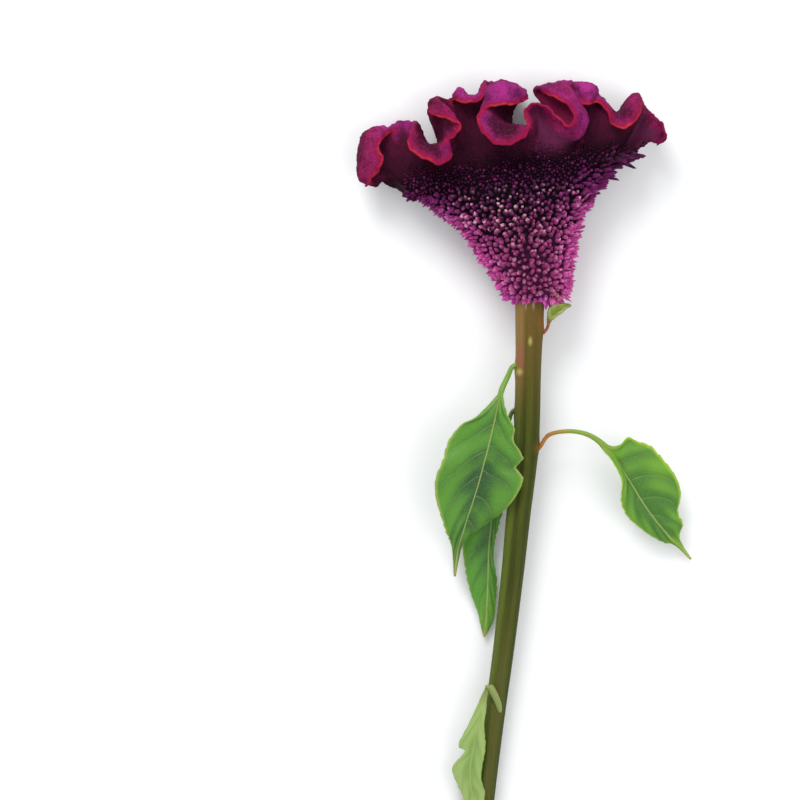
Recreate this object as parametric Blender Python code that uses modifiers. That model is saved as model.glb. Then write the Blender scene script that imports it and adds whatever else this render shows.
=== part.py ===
"""Cockscomb celosia: one cut flower, lying on a flat surface with its bloom towards +Y.

The flower is drawn in its own frame, in millimetres: the origin is the middle of the stem where it
enters the bloom, +Y runs up through the bloom, +X is to the right seen from above, and +Z is up.
At the end it is moved so that it is centred over the world's origin, with its lowest spots at Z = 0.
"""

import math
import random

import bmesh
import bpy
import numpy as np
from mathutils import Matrix, Vector

MM = 0.001
GAP = 0.3
FLOOR = -15.0

# Stem: middle line and radius, from the bloom down to the cut.
STEM_LINE = [
    (0.0, 0.0, 5.8),
    (-0.6, -24.8, 5.0),
    (-1.5, -54.4, 4.9),
    (-4.3, -81.0, 4.6),
    (-6.3, -101.0, 4.3),
    (-9.8, -131.0, 4.0),
    (-13.6, -160.0, 3.8),
    (-17.2, -190.0, 3.7),
    (-19.9, -212.0, 3.7),
]
STEM_END_HEIGHT = 3.45
STEM_DROP = FLOOR + STEM_END_HEIGHT
STEM_LENGTH = 212.0
STEM_RIBS = 6
RIB_DEPTH = 0.06
STEM_SIDES = 18
STEM_STEPS = 3

# Bloom: where the floret-covered wedge ends and the velvet comb begins.
SEAM_HEIGHT = 49.0
SEAM_SLOPE = 0.17
SEAM_LEFT = -45.0
SEAM_RIGHT = 36.5

# Wedge: left and right ends of each section, and half its depth.
WEDGE = [
    (-6.8, 1.0, 8.5, 0.3, 6.4),
    (-8.6, 3.8, 12.0, 1.5, 8.0),
    (-12.8, 10.0, 13.6, 8.5, 9.2),
    (-18.0, 17.5, 14.6, 16.0, 9.8),
    (-22.8, 24.5, 16.0, 23.5, 10.2),
    (-28.6, 29.8, 18.2, 31.0, 10.2),
    (-36.0, 35.0, 23.4, 40.0, 9.8),
    (-43.0, 39.4, 31.6, 50.0, 9.4),
    (-48.5, 43.6, 37.0, 58.5, 9.0),
    (-52.0, 48.0, 41.0, 66.0, 8.5),
]
WEDGE_STEPS = 2
WEDGE_SIDES = 40
WEDGE_FULLNESS = 0.8
FLORET_PITCH = 3.0
FLORET_TURN = math.radians(45)
FLORET_LENGTH_LOW = 3.6
FLORET_LENGTH_HIGH = 1.7
FLORET_SIZES = (0.75, 1.2)
FLORET_LEAN = 0.35
FLORET_STRAY = 0.35
FLORET_SEED = 5
FLORET_CALMING = 5
# No floret stands in the strip just below the comb, or on faces that look this squarely at the stem.
BARE_STRIP = 1.0
BARE_FACING = -0.9

# Comb: where its growing edge runs, then the crown that the blade bends over just below it, and a
# neck below that where a lobe leans out sideways over a gap.
COMB_EDGE = [
    ((-61.5, 42.5, 2), (-57.0, 43.0, 0)),
    ((-59.5, 45.5, 6), (-63.0, 45.0, -1)),
    ((-56.5, 49.0, 9), (-63.5, 51.0, -3)),
    ((-55.5, 53.0, 10), (-63.0, 57.0, -4)),
    ((-57.0, 57.0, 8), (-61.5, 61.5, -4)),
    ((-55.0, 61.0, 3), (-57.5, 64.0, -3)),
    ((-51.5, 63.5, -5), (-53.0, 64.5, -5)),
    ((-48.5, 64.0, -16.5), (-49.0, 66.0, -9)),
    ((-44.5, 65.0, -9), (-44.8, 66.3, -6)),
    ((-44.2, 63.4, 3), (-42.2, 65.8, -2)),
    ((-45.5, 58.5, 10), (-41.6, 61.5, 0)),
    ((-43.4, 55.0, 13), (-39.6, 57.6, 2)),
    ((-38.6, 52.4, 16), (-37.2, 56.2, 3)),
    ((-33.6, 50.6, 17), (-34.4, 56.6, 3)),
    ((-29.6, 53.8, 14), (-32.2, 58.2, 1)),
    ((-32.2, 57.8, 10), (-31.4, 61.5, -3)),
    ((-28.8, 61.2, 11), (-32.8, 65.5, -5)),
    ((-26.1, 64.4, 12), (-35.6, 69.0, -5)),
    ((-29.5, 67.2, 12), (-37.2, 72.8, -2)),
    ((-34.2, 68.7, 9), (-34.8, 74.8, -1)),
    ((-37.2, 70.3, 1), (-33.0, 75.2, -5)),
    ((-34.5, 72.0, -9), (-31.2, 74.6, -7)),
    ((-30.5, 72.5, -14), (-29.4, 74.6, -9)),
    ((-28.2, 75.2, -1), (-28.0, 77.0, -4)),
    ((-26.0, 74.2, 6), (-25.8, 78.4, -2)),
    ((-22.8, 73.9, 7), (-22.9, 75.0, -1)),
    ((-19.4, 74.6, 7), (-20.0, 75.2, -2)),
    ((-16.9, 77.3, 5), (-18.0, 78.4, -4)),
    ((-16.8, 80.0, 0), (-16.8, 80.8, -6)),
    ((-12.5, 77.5, -15.5), (-12.5, 81.0, -9), (-13.5, 71.0, -7)),
    ((-6.5, 76.0, -14), (-6.0, 79.6, -9), (-10.8, 70.2, -6)),
    ((-1.4, 75.6, 1), (-2.2, 77.6, -3), (-8.2, 69.2, -4)),
    ((-5.5, 73.4, 8), (-5.5, 79.6, -1), (-9.2, 70.0, -3)),
    ((-11.5, 72.9, 11), (-11.0, 80.9, 0), (-11.5, 71.0, -2)),
    ((-17.0, 71.4, 13), (-15.0, 77.6, 0)),
    ((-19.6, 67.0, 15), (-14.0, 72.0, 2)),
    ((-17.4, 62.0, 18), (-11.5, 66.5, 3)),
    ((-12.2, 57.9, 19), (-8.5, 63.8, 3)),
    ((-5.6, 58.8, 18), (-4.5, 63.0, 1)),
    ((-1.0, 62.8, 15), (0.8, 62.5, 7)),
    ((-1.6, 67.2, 11), (1.5, 66.5, 6)),
    ((-1.9, 71.4, 9), (0.5, 69.8, 5)),
    ((3.6, 73.2, 10), (4.5, 69.8, 5)),
    ((8.6, 69.6, 12), (8.5, 65.3, 7)),
    ((11.8, 66.2, 14.5), (12.6, 62.5, 9)),
    ((14.8, 64.8, 16), (17.4, 61.0, 10)),
    ((16.4, 67.4, 15), (20.4, 64.5, 9)),
    ((15.2, 71.4, 11.5), (20.0, 70.2, 5)),
    ((11.6, 74.6, 9), (12.6, 79.6, -2)),
    ((5.6, 77.6, 4), (2.2, 78.0, -4)),
    ((7.0, 79.0, -7), (6.0, 80.4, -7)),
    ((13.5, 77.5, -15.5), (14.0, 81.6, -9)),
    ((16.8, 76.0, -1), (18.5, 81.2, -5)),
    ((20.8, 73.2, 6), (24.2, 79.6, -3)),
    ((25.0, 74.2, 2), (25.6, 76.0, -4)),
    ((28.8, 71.0, 4), (29.8, 72.0, -1)),
    ((30.8, 65.8, 8), (32.0, 68.5, 1)),
    ((35.6, 64.4, 12), (34.8, 70.5, 3)),
    ((40.2, 68.6, 10), (37.4, 75.0, 2)),
    ((41.4, 73.6, 4), (39.4, 76.6, 0)),
    ((41.4, 74.6, -6), (41.5, 75.8, -5)),
    ((42.5, 69.5, -18.5), (43.0, 71.5, -10)),
    ((46.0, 68.4, -5), (46.5, 69.0, -4)),
    ((49.8, 64.6, 2), (49.3, 65.4, 0)),
    ((50.6, 60.0, 4), (49.9, 60.8, 1)),
    ((47.5, 57.8, 3), (47.3, 58.6, 1)),
]
COMB_SPREAD = 5.0
COMB_SINK = 2.5
COMB_LOW = 0.38
COMB_LOW_FOLD = 0.2
COMB_HIGH = 0.75
COMB_HIGH_FOLD = 0.55
COMB_SWELL = (0.0, 0.2, 0.15)
COMB_STEPS = 4
COMB_ROWS = 11
COMB_ROOT_DEPTH = 8.0
COMB_EDGE_DEPTH = 0.9
COMB_CURVE_STEPS = 8
COMB_VOXEL = 1.0
COMB_CALMING = 2
COMB_TRIANGLES = 8000

# Leaves: stalk line with its radius, then rows across the blade as left edge, midrib and right edge.
LEAF_FRONT_STALK = [
    (-6.7, -25.2, 0.6, 0.9),
    (-8.3, -28.5, 2.6, 1.0),
    (-10.6, -33.5, 5.0, 1.1),
]
LEAF_FRONT_ROWS = [
    ((-13.0, -36.3, 6.2), (-11.4, -36.2, 6.0), (-10.0, -36.8, 6.4)),
    ((-20.0, -43.3, 7.5), (-12.6, -42.0, 6.4), (-8.6, -42.8, 7.4)),
    ((-25.8, -46.6, 6.8), (-13.8, -47.5, 6.2), (-5.9, -48.4, 8.2)),
    ((-30.6, -52.8, 5.2), (-15.2, -53.5, 5.6), (-6.3, -52.4, 7.2)),
    ((-32.8, -60.0, 5.6), (-16.9, -59.8, 4.8), (-2.6, -59.0, 6.4)),
    ((-35.4, -66.5, 3.6), (-18.2, -64.8, 4.0), (-5.2, -62.8, 4.9)),
    ((-35.5, -73.5, 2.6), (-19.6, -69.8, 3.2), (-2.6, -67.0, 5.2)),
    ((-33.6, -80.6, 2.0), (-21.5, -75.8, 2.2), (-5.4, -73.6, 3.6)),
    ((-31.6, -86.8, 0.4), (-23.6, -82.0, 1.0), (-11.5, -80.8, 0.4)),
    ((-29.8, -91.2, -1.8), (-25.6, -88.5, -0.6), (-18.6, -85.2, -2.0)),
    ((-28.9, -96.6, -4.6), (-27.2, -94.6, -2.8), (-24.9, -90.4, -3.2)),
    ((-28.5, -103.6, -6.4), (-28.1, -103.8, -6.2), (-27.8, -103.6, -6.4)),
]
LEAF_RIGHT_STALK = [
    (4.1, -54.6, -3.0, 0.8),
    (7.3, -50.5, -1.0, 0.8),
    (14.2, -49.2, 1.0, 0.8),
    (20.6, -50.1, 2.0, 0.9),
    (25.4, -52.6, 2.0, 1.1),
]
LEAF_RIGHT_ROWS = [
    ((30.0, -54.6, 1.8), (28.6, -55.6, 1.6), (28.0, -57.2, 1.6)),
    ((33.6, -54.2, 2.4), (31.4, -58.4, 1.2), (30.6, -60.0, 2.4)),
    ((36.6, -51.4, 2.2), (33.4, -61.6, 0.6), (33.0, -64.0, 2.6)),
    ((40.4, -53.0, 0.0), (35.4, -65.0, -0.2), (34.6, -68.2, 2.0)),
    ((45.4, -54.8, -1.6), (37.6, -68.4, -1.2), (34.0, -71.6, 0.8)),
    ((50.4, -60.2, -2.4), (39.8, -72.0, -2.2), (34.4, -76.2, -0.8)),
    ((54.8, -66.2, -3.2), (42.2, -75.8, -3.2), (36.4, -81.0, -2.8)),
    ((56.8, -72.6, -5.2), (44.8, -79.6, -4.4), (40.4, -84.8, -5.0)),
    ((55.8, -79.6, -7.0), (47.6, -83.2, -5.6), (45.6, -88.6, -7.0)),
    ((57.6, -84.0, -7.4), (50.6, -86.8, -7.0), (50.4, -91.2, -8.6)),
    ((56.4, -88.6, -9.2), (53.6, -90.2, -8.6), (53.6, -91.6, -9.8)),
    ((57.9, -92.6, -10.8), (57.2, -93.2, -10.6), (56.6, -93.8, -10.8)),
    ((61.1, -97.2, -12.6), (60.8, -97.5, -12.6), (60.4, -97.7, -12.6)),
]
LEAF_BEHIND_STALK = [
    (-7.0, -42.6, -3.6, 0.8),
    (-8.6, -49.0, -5.6, 0.9),
    (-10.0, -56.0, -7.0, 1.0),
]
LEAF_BEHIND_ROWS = [
    ((-11.8, -60.2, -7.6), (-10.4, -60.4, -7.8), (-9.2, -60.8, -7.6)),
    ((-17.0, -67.5, -7.4), (-12.0, -68.0, -8.4), (-8.6, -69.0, -7.6)),
    ((-21.6, -75.5, -8.2), (-13.2, -76.0, -8.8), (-9.4, -77.0, -8.0)),
    ((-24.4, -84.0, -9.4), (-14.2, -84.0, -9.2), (-11.6, -84.6, -8.4)),
    ((-25.2, -92.0, -9.8), (-15.0, -92.0, -9.6), (-13.2, -91.4, -9.6)),
    ((-24.6, -99.0, -9.4), (-15.4, -99.0, -10.0), (-13.6, -98.0, -10.6)),
    ((-23.4, -105.6, -10.4), (-15.6, -105.6, -10.4), (-12.2, -105.0, -11.6)),
    ((-21.6, -112.0, -11.6), (-15.9, -112.0, -10.8), (-12.6, -111.6, -11.4)),
    ((-19.4, -117.6, -12.2), (-16.2, -118.0, -11.4), (-13.0, -117.6, -11.6)),
    ((-18.6, -121.4, -12.4), (-16.5, -122.2, -12.0), (-13.8, -121.4, -12.4)),
    ((-17.3, -126.6, -13.0), (-16.9, -126.8, -12.9), (-16.5, -126.6, -13.0)),
]
LEAF_LOW_STALK = [
    (-11.6, -152.8, -2.9, 1.0),
    (-13.4, -147.6, -1.3, 1.2),
    (-15.4, -144.6, -1.4, 1.2),
]
LEAF_LOW_ROWS = [
    ((-18.2, -148.6, -2.8), (-17.0, -147.6, -2.6), (-16.0, -148.6, -2.8)),
    ((-20.4, -153.6, -4.0), (-18.0, -153.4, -3.6), (-16.4, -153.8, -3.0)),
    ((-23.2, -159.6, -5.4), (-19.2, -159.2, -4.4), (-17.2, -159.0, -2.8)),
    ((-26.8, -167.2, -6.8), (-20.6, -165.2, -5.0), (-16.8, -164.4, -2.6)),
    ((-24.4, -169.6, -6.6), (-21.4, -169.6, -5.4), (-16.8, -169.0, -2.8)),
    ((-29.0, -175.6, -8.6), (-22.2, -175.2, -6.0), (-17.8, -174.6, -3.8)),
    ((-27.4, -181.6, -9.0), (-22.2, -181.0, -6.8), (-18.2, -179.8, -4.6)),
    ((-25.0, -187.0, -9.2), (-21.6, -187.2, -7.8), (-16.9, -186.2, -4.8)),
    ((-25.4, -193.6, -9.2), (-22.8, -194.0, -8.2), (-19.6, -193.0, -5.8)),
    ((-25.2, -203.0, -10.4), (-24.8, -203.2, -10.4), (-24.4, -203.0, -10.4)),
]
LEAF_SMALL_STALK = [
    (6.2, -11.0, 0.6, 0.6),
    (6.8, -9.4, 1.0, 0.6),
]
LEAF_SMALL_ROWS = [
    ((6.4, -7.0, 1.6), (7.0, -7.6, 1.2), (7.7, -8.2, 1.6)),
    ((6.8, -3.6, 3.0), (8.4, -5.2, 1.6), (9.8, -6.4, 2.6)),
    ((8.6, -1.8, 3.4), (10.4, -3.6, 1.8), (12.2, -4.6, 3.0)),
    ((11.6, -1.4, 3.0), (12.6, -2.4, 1.8), (13.6, -3.2, 2.8)),
    ((15.3, -1.7, 2.0), (15.4, -1.9, 1.9), (15.5, -2.1, 2.0)),
]
LEAF_STEPS = 2
LEAF_COLUMNS = (-1.0, -0.66, -0.33, 0.0, 0.33, 0.66, 1.0)
LEAF_EDGE = 0.35
LEAF_RIB = 0.85
LEAF_RIB_TIP = 0.4
STALK_ROUNDNESS = 0.5
RIB_SPREAD = 1.5
BLADE_SPREAD = 4.5
BLADE_BEGINS = 0.25

# Colours of the real flower, as linear base colours.
STEM_GREEN = (0.11, 0.13, 0.02)
LEAF_GREEN = (0.09, 0.27, 0.05)
FLORET_PURPLE = (0.16, 0.02, 0.13)
COMB_PLUM = (0.16, 0.01, 0.06)


def clear_scene():
    for thing in list(bpy.data.objects):
        bpy.data.objects.remove(thing)


def collection(name):
    made = bpy.data.collections.new(name)
    bpy.context.scene.collection.children.link(made)
    return made


def material(name, colour, roughness):
    made = bpy.data.materials.new(name)
    made.use_nodes = True
    shader = made.node_tree.nodes["Principled BSDF"]
    shader.inputs["Base Color"].default_value = (*colour, 1.0)
    shader.inputs["Roughness"].default_value = roughness
    shader.inputs["Metallic"].default_value = 0.0
    return made


def path_through(points, steps):
    """Points along a smooth curve through the given ones, with so many steps between each two."""
    points = np.array(points, float)
    before = 2 * points[:1] - points[1:2]
    after = 2 * points[-1:] - points[-2:-1]
    held = np.concatenate([before, points, after])
    path = []
    for i in range(len(points) - 1):
        a, b, c, d = held[i : i + 4]
        for k in range(steps):
            t = k / steps
            bend = 2 * a - 5 * b + 4 * c - d
            twist = 3 * b - a - 3 * c + d
            path.append(b + 0.5 * t * (c - a + t * (bend + t * twist)))
    path.append(points[-1])
    return np.array(path)


def new_object(name, bm, look, home):
    bmesh.ops.recalc_face_normals(bm, faces=bm.faces)
    mesh = bpy.data.meshes.new(name)
    bm.to_mesh(mesh)
    bm.free()
    mesh.materials.append(look)
    made = bpy.data.objects.new(name, mesh)
    home.objects.link(made)
    return made


def loft(rings):
    """A closed body through rings of as many points each, split into triangles, with flat ends."""
    bm = bmesh.new()
    rows = [[bm.verts.new(Vector(p) * MM) for p in ring] for ring in rings]
    for one, two in zip(rows, rows[1:]):
        for i in range(len(one)):
            j = (i + 1) % len(one)
            bm.faces.new((one[i], one[j], two[j]))
            bm.faces.new((one[i], two[j], two[i]))
    ends = [bm.faces.new(rows[0]), bm.faces.new(rows[-1])]
    bmesh.ops.triangulate(bm, faces=ends)
    return bm


def bake(thing):
    """Applies the object's modifiers, and gives its mesh back for editing."""
    graph = bpy.context.evaluated_depsgraph_get()
    mesh = bpy.data.meshes.new_from_object(thing.evaluated_get(graph))
    thing.modifiers.clear()
    thing.data = mesh
    bm = bmesh.new()
    bm.from_mesh(mesh)
    return bm


def cut_off(bm, point, normal):
    """Removes what lies on the normal's side of a plane, and closes the cut with flat faces."""
    every = bm.verts[:] + bm.edges[:] + bm.faces[:]
    point = Vector(point) * MM
    cut = bmesh.ops.bisect_plane(
        bm, geom=every, dist=1e-7, plane_co=point, plane_no=normal, clear_outer=True
    )
    edges = [e for e in cut["geom_cut"] if isinstance(e, bmesh.types.BMEdge)]
    filled = bmesh.ops.holes_fill(bm, edges=edges, sides=0)
    bmesh.ops.triangulate(bm, faces=filled["faces"])


def stem_height(y):
    """How far the stem's middle has sunk below the bloom's middle at this point of its length."""
    return STEM_DROP * (-y / STEM_LENGTH)


def make_stem(home):
    points = [(x, y, stem_height(y), radius) for x, y, radius in STEM_LINE]
    line = path_through(points, STEM_STEPS)
    rings = []
    for x, y, z, radius in line:
        ring = []
        for k in range(STEM_SIDES):
            turn = math.tau * k / STEM_SIDES
            wide = radius * (1 - RIB_DEPTH * (0.5 + 0.5 * math.cos(STEM_RIBS * turn)))
            ring.append((x + wide * math.cos(turn), y, z + wide * math.sin(turn)))
        rings.append(ring)
    bm = loft(rings)
    cut_off(bm, (0, 0, FLOOR), (0, 0, -1))
    return new_object("stem", bm, material("stem", STEM_GREEN, 0.5), home)


def seam(x):
    return SEAM_HEIGHT + SEAM_SLOPE * x


def make_florets(home):
    """The wedge below the comb, every face of it raised into a pointed floret."""
    rings = []
    for left_x, left_y, right_x, right_y, depth in path_through(WEDGE, WEDGE_STEPS):
        left = Vector((left_x, left_y, 0))
        right = Vector((right_x, right_y, 0))
        middle, half = (left + right) / 2, (right - left) / 2
        ring = []
        for k in range(WEDGE_SIDES):
            turn = math.tau * k / WEDGE_SIDES
            flat = math.copysign(abs(math.sin(turn)) ** WEDGE_FULLNESS, math.sin(turn))
            ring.append(middle + half * math.cos(turn) + Vector((0, 0, depth * flat)))
        rings.append(ring)
    look = material("florets", FLORET_PURPLE, 0.7)
    wedge = new_object("florets", loft(rings), look, home)
    wedge.data.transform(Matrix.Rotation(FLORET_TURN, 4, "Z"))
    even = wedge.modifiers.new("even faces", "REMESH")
    even.mode = "VOXEL"
    even.voxel_size = FLORET_PITCH * MM
    calm = wedge.modifiers.new("calm", "SMOOTH")
    calm.iterations = FLORET_CALMING
    bm = bake(wedge)
    bmesh.ops.rotate(bm, verts=bm.verts, matrix=Matrix.Rotation(-FLORET_TURN, 3, "Z"))
    bm.normal_update()
    raise_florets(bm)
    slant = Vector((-SEAM_SLOPE, 1, 0)).normalized()
    cut_off(bm, (0, SEAM_HEIGHT, 0), slant)
    cut_off(bm, (0, GAP, 0), (0, -1, 0))
    bm.to_mesh(wedge.data)
    bm.free()
    wedge.data.materials.clear()
    wedge.data.materials.append(look)
    return wedge


def raise_florets(bm):
    chance = random.Random(FLORET_SEED)
    for face in bm.faces[:]:
        middle = face.calc_center_median() / MM
        rise = min(max(middle.y / SEAM_HEIGHT, 0), 1)
        if middle.y > seam(middle.x) - BARE_STRIP or face.normal.y < BARE_FACING:
            continue
        length = FLORET_LENGTH_LOW + (FLORET_LENGTH_HIGH - FLORET_LENGTH_LOW) * rise
        stray = Vector([chance.uniform(-1, 1) * FLORET_STRAY for _ in range(3)])
        tip = face.normal + Vector((0, FLORET_LEAN, 0)) + stray
        length *= chance.uniform(*FLORET_SIZES)
        point = bmesh.ops.poke(bm, faces=[face])["verts"][0]
        point.co += tip.normalized() * length * MM


def comb_grid(steps, rows):
    """Points of the comb's middle surface: one line from root to growing edge at each step."""
    edge = np.array([station[0] for station in COMB_EDGE], float)
    crown = np.array([station[1] for station in COMB_EDGE], float)
    along = np.arange(len(edge))
    weight = np.exp(-(((along[:, None] - along) / COMB_SPREAD) ** 2))
    calm = weight @ crown / weight.sum(1, keepdims=True)
    travel = (calm[:, 0] - calm[0, 0]) / (calm[-1, 0] - calm[0, 0])
    root_x = SEAM_LEFT + (SEAM_RIGHT - SEAM_LEFT) * np.maximum.accumulate(travel)
    root = np.stack([root_x, seam(root_x) - COMB_SINK, 0 * root_x], 1)
    low = root + COMB_LOW * (calm + COMB_LOW_FOLD * (crown - calm) - root)
    high = root + COMB_HIGH * (calm + COMB_HIGH_FOLD * (crown - calm) - root)
    for i, station in enumerate(COMB_EDGE):
        if len(station) > 2:
            high[i] = station[2]
    reach = np.linalg.norm(edge - crown, axis=1)
    swell = reach[:, None] * np.array(COMB_SWELL)
    swell[:, 2] *= np.sign(edge[:, 2] - crown[:, 2])
    bend = (edge + crown) / 2 + swell
    runs = [path_through(run, steps) for run in (root, low, high, crown, bend, edge)]
    grid = np.zeros((len(runs[0]), rows, 3))
    for i, points in enumerate(zip(*runs)):
        line = path_through(points, COMB_CURVE_STEPS)
        walked = np.linalg.norm(np.diff(line, axis=0), axis=1).cumsum()
        walked = np.concatenate([[0], walked])
        wanted = np.linspace(0, walked[-1], rows)
        grid[i] = np.stack([np.interp(wanted, walked, line[:, c]) for c in range(3)], 1)
    return grid


def make_comb(home):
    """The velvet blade, thick at its root and thin at its growing edge, in folds that meet."""
    grid = comb_grid(COMB_STEPS, COMB_ROWS)
    count = len(grid)
    bm = bmesh.new()
    bmesh.ops.create_grid(bm, x_segments=count - 1, y_segments=COMB_ROWS - 1, size=1)
    mesh = bpy.data.meshes.new("comb")
    bm.to_mesh(mesh)
    bm.free()
    comb = bpy.data.objects.new("comb", mesh)
    home.objects.link(comb)
    taper = comb.vertex_groups.new(name="taper")
    for vertex in mesh.vertices:
        i = round((vertex.co.x + 1) / 2 * (count - 1))
        j = round((vertex.co.y + 1) / 2 * (COMB_ROWS - 1))
        vertex.co = Vector(grid[i, j]) * MM
        fall = (1 - j / (COMB_ROWS - 1)) ** 2
        depth = COMB_EDGE_DEPTH + (COMB_ROOT_DEPTH - COMB_EDGE_DEPTH) * fall
        taper.add([vertex.index], depth / COMB_ROOT_DEPTH, "REPLACE")
    wall = comb.modifiers.new("thickness", "SOLIDIFY")
    wall.thickness = 2 * COMB_ROOT_DEPTH * MM
    wall.offset = 0
    wall.vertex_group = "taper"
    fuse = comb.modifiers.new("fused folds", "REMESH")
    fuse.mode = "VOXEL"
    fuse.voxel_size = COMB_VOXEL * MM
    soft = comb.modifiers.new("soft", "SMOOTH")
    soft.iterations = COMB_CALMING
    bm = bake(comb)
    bm.to_mesh(comb.data)
    triangles = sum(len(face.verts) - 2 for face in bm.faces)
    bm.free()
    fewer = comb.modifiers.new("fewer faces", "DECIMATE")
    fewer.ratio = COMB_TRIANGLES / triangles
    bm = bake(comb)
    slant = Vector((SEAM_SLOPE, -1, 0)).normalized()
    cut_off(bm, (0, SEAM_HEIGHT + GAP, 0), slant)
    cut_off(bm, (0, 0, FLOOR), (0, 0, -1))
    bm.to_mesh(comb.data)
    bm.free()
    comb.data.materials.clear()
    comb.data.materials.append(material("comb", COMB_PLUM, 0.6))
    return comb


def stalk_rows(stalk, across):
    """Left, middle and right of a round stalk at each of its points, half its depth and its roundness."""
    points = [Vector(p[:3]) for p in stalk]
    last = points[-1] - points[-2]
    hand = math.copysign(1, Vector((-last.y, last.x, 0)).dot(across))
    rows = []
    for i, point in enumerate(points):
        radius = stalk[i][3]
        ahead = points[min(i + 1, len(points) - 1)] - points[max(i - 1, 0)]
        side = Vector((-ahead.y, ahead.x, 0)).normalized() * radius * hand
        rows.append((*(point - side), *point, *(point + side), radius, STALK_ROUNDNESS))
    return rows


def make_leaf(name, stalk, blade, home):
    """One closed skin: a round stalk that opens into a thin blade with a raised midrib."""
    rows = stalk_rows(stalk, Vector(blade[0][2]) - Vector(blade[0][0]))
    for k, (left, middle, right) in enumerate(blade):
        part = k / (len(blade) - 1)
        rib = LEAF_RIB + (LEAF_RIB_TIP - LEAF_RIB) * part
        spread = RIB_SPREAD + (BLADE_SPREAD - RIB_SPREAD) * min(1, part / BLADE_BEGINS)
        rows.append((*left, *middle, *right, rib, spread))
    rows = path_through(rows, LEAF_STEPS)
    sheet = np.zeros((len(rows), len(LEAF_COLUMNS), 3))
    half = np.zeros((len(rows), len(LEAF_COLUMNS)))
    for i, row in enumerate(rows):
        left, middle, right, rib, spread = row[0:3], row[3:6], row[6:9], row[9], row[10]
        for j, u in enumerate(LEAF_COLUMNS):
            sheet[i, j] = middle + abs(u) * ((left if u < 0 else right) - middle)
            half[i, j] = LEAF_EDGE + (rib - LEAF_EDGE) * (1 - abs(u)) ** spread
    along = np.gradient(sheet, axis=0)
    across = np.gradient(sheet, axis=1)
    normal = np.cross(across, along)
    normal /= np.linalg.norm(normal, axis=2, keepdims=True)
    top = sheet + normal * half[..., None]
    low = sheet - normal * half[..., None]
    rings = [[*top[i], *low[i][::-1]] for i in range(len(rows))]
    return new_object(name, loft(rings), material(name, LEAF_GREEN, 0.5), home)


def stand_on_floor(parts, home):
    """Moves the whole flower so that its box is centred on the origin and its lowest spot is at 0."""
    corners = np.concatenate([[v.co for v in p.data.vertices] for p in parts])
    low, high = corners.min(0), corners.max(0)
    move = Vector((-(low[0] + high[0]) / 2, -(low[1] + high[1]) / 2, -low[2]))
    frame = bpy.data.objects.new("flower", None)
    frame.location = move
    home.objects.link(frame)
    for thing in parts:
        thing.parent = frame


def main():
    clear_scene()
    home = collection("cockscomb_celosia")
    parts = [make_stem(home), make_florets(home), make_comb(home)]
    leaves = [
        ("leaf_front", LEAF_FRONT_STALK, LEAF_FRONT_ROWS),
        ("leaf_right", LEAF_RIGHT_STALK, LEAF_RIGHT_ROWS),
        ("leaf_behind", LEAF_BEHIND_STALK, LEAF_BEHIND_ROWS),
        ("leaf_low", LEAF_LOW_STALK, LEAF_LOW_ROWS),
        ("leaf_small", LEAF_SMALL_STALK, LEAF_SMALL_ROWS),
    ]
    for name, stalk, blade in leaves:
        parts.append(make_leaf(name, stalk, blade, home))
    stand_on_floor(parts, home)


main()
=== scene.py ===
import math

import bpy
import numpy as np
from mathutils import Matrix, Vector, kdtree, noise
from mathutils.bvhtree import BVHTree


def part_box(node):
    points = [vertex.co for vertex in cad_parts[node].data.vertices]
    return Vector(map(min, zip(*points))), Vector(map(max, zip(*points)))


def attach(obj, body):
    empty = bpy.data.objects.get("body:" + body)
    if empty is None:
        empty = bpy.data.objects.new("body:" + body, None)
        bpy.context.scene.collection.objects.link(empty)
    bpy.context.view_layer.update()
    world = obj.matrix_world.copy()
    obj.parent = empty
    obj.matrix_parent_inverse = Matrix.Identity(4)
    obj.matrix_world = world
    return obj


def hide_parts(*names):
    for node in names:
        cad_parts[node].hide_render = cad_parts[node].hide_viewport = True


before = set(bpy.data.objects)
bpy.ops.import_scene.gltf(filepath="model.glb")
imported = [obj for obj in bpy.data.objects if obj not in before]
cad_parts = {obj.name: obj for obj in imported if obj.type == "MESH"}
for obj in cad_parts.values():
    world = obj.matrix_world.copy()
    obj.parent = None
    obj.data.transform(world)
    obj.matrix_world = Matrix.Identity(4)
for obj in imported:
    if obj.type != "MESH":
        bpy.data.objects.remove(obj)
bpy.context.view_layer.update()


# Stem. The fleshy, ribbed stalk that carries the bloom. It is one grown piece, a little swollen where
# each leaf leaves it, tinted brown and pink below the bloom, and cut straight through at its lower end.

# Lengths are millimetres from the middle of the stem's top, and the floor lies this far behind it.
MM = 0.001
FLOOR = -15.0
STEM_TOP_REACH = 5.45
stem_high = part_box("stem")[1]
ORIGIN = np.array((stem_high.x - STEM_TOP_REACH * MM, stem_high.y, -FLOOR * MM))

# The stem's middle line and its radius, from the bloom down to the cut.
STEM_LINE = [
    (0, 0, 5.8),
    (-0.6, -24.8, 5),
    (-1.5, -54.4, 4.9),
    (-4.3, -81, 4.6),
    (-6.3, -101, 4.3),
    (-9.8, -131, 4),
    (-13.6, -160, 3.8),
    (-17.2, -190, 3.7),
    (-19.9, -212, 3.7),
]
STEM_END_HEIGHT = 3.45
STEM_LENGTH = -STEM_LINE[-1][1]
STEM_STEPS = 26
STEM_SIDES = 96
STEM_RIBS = 6
RIB_DEPTH = 0.055
STEM_GROOVES = 17
STEM_GROOVE_DEPTH = 0.03
STEM_TWIST = math.radians(0.22)
# Rings of the cut end: their share of the radius, and how far the cut bulges there.
CUT_RINGS = ((0.97, 0), (0.9, 0.2), (0.7, 0.15), (0.45, 0.07), (0.2, 0.05), (0.03, 0.05))
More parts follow.
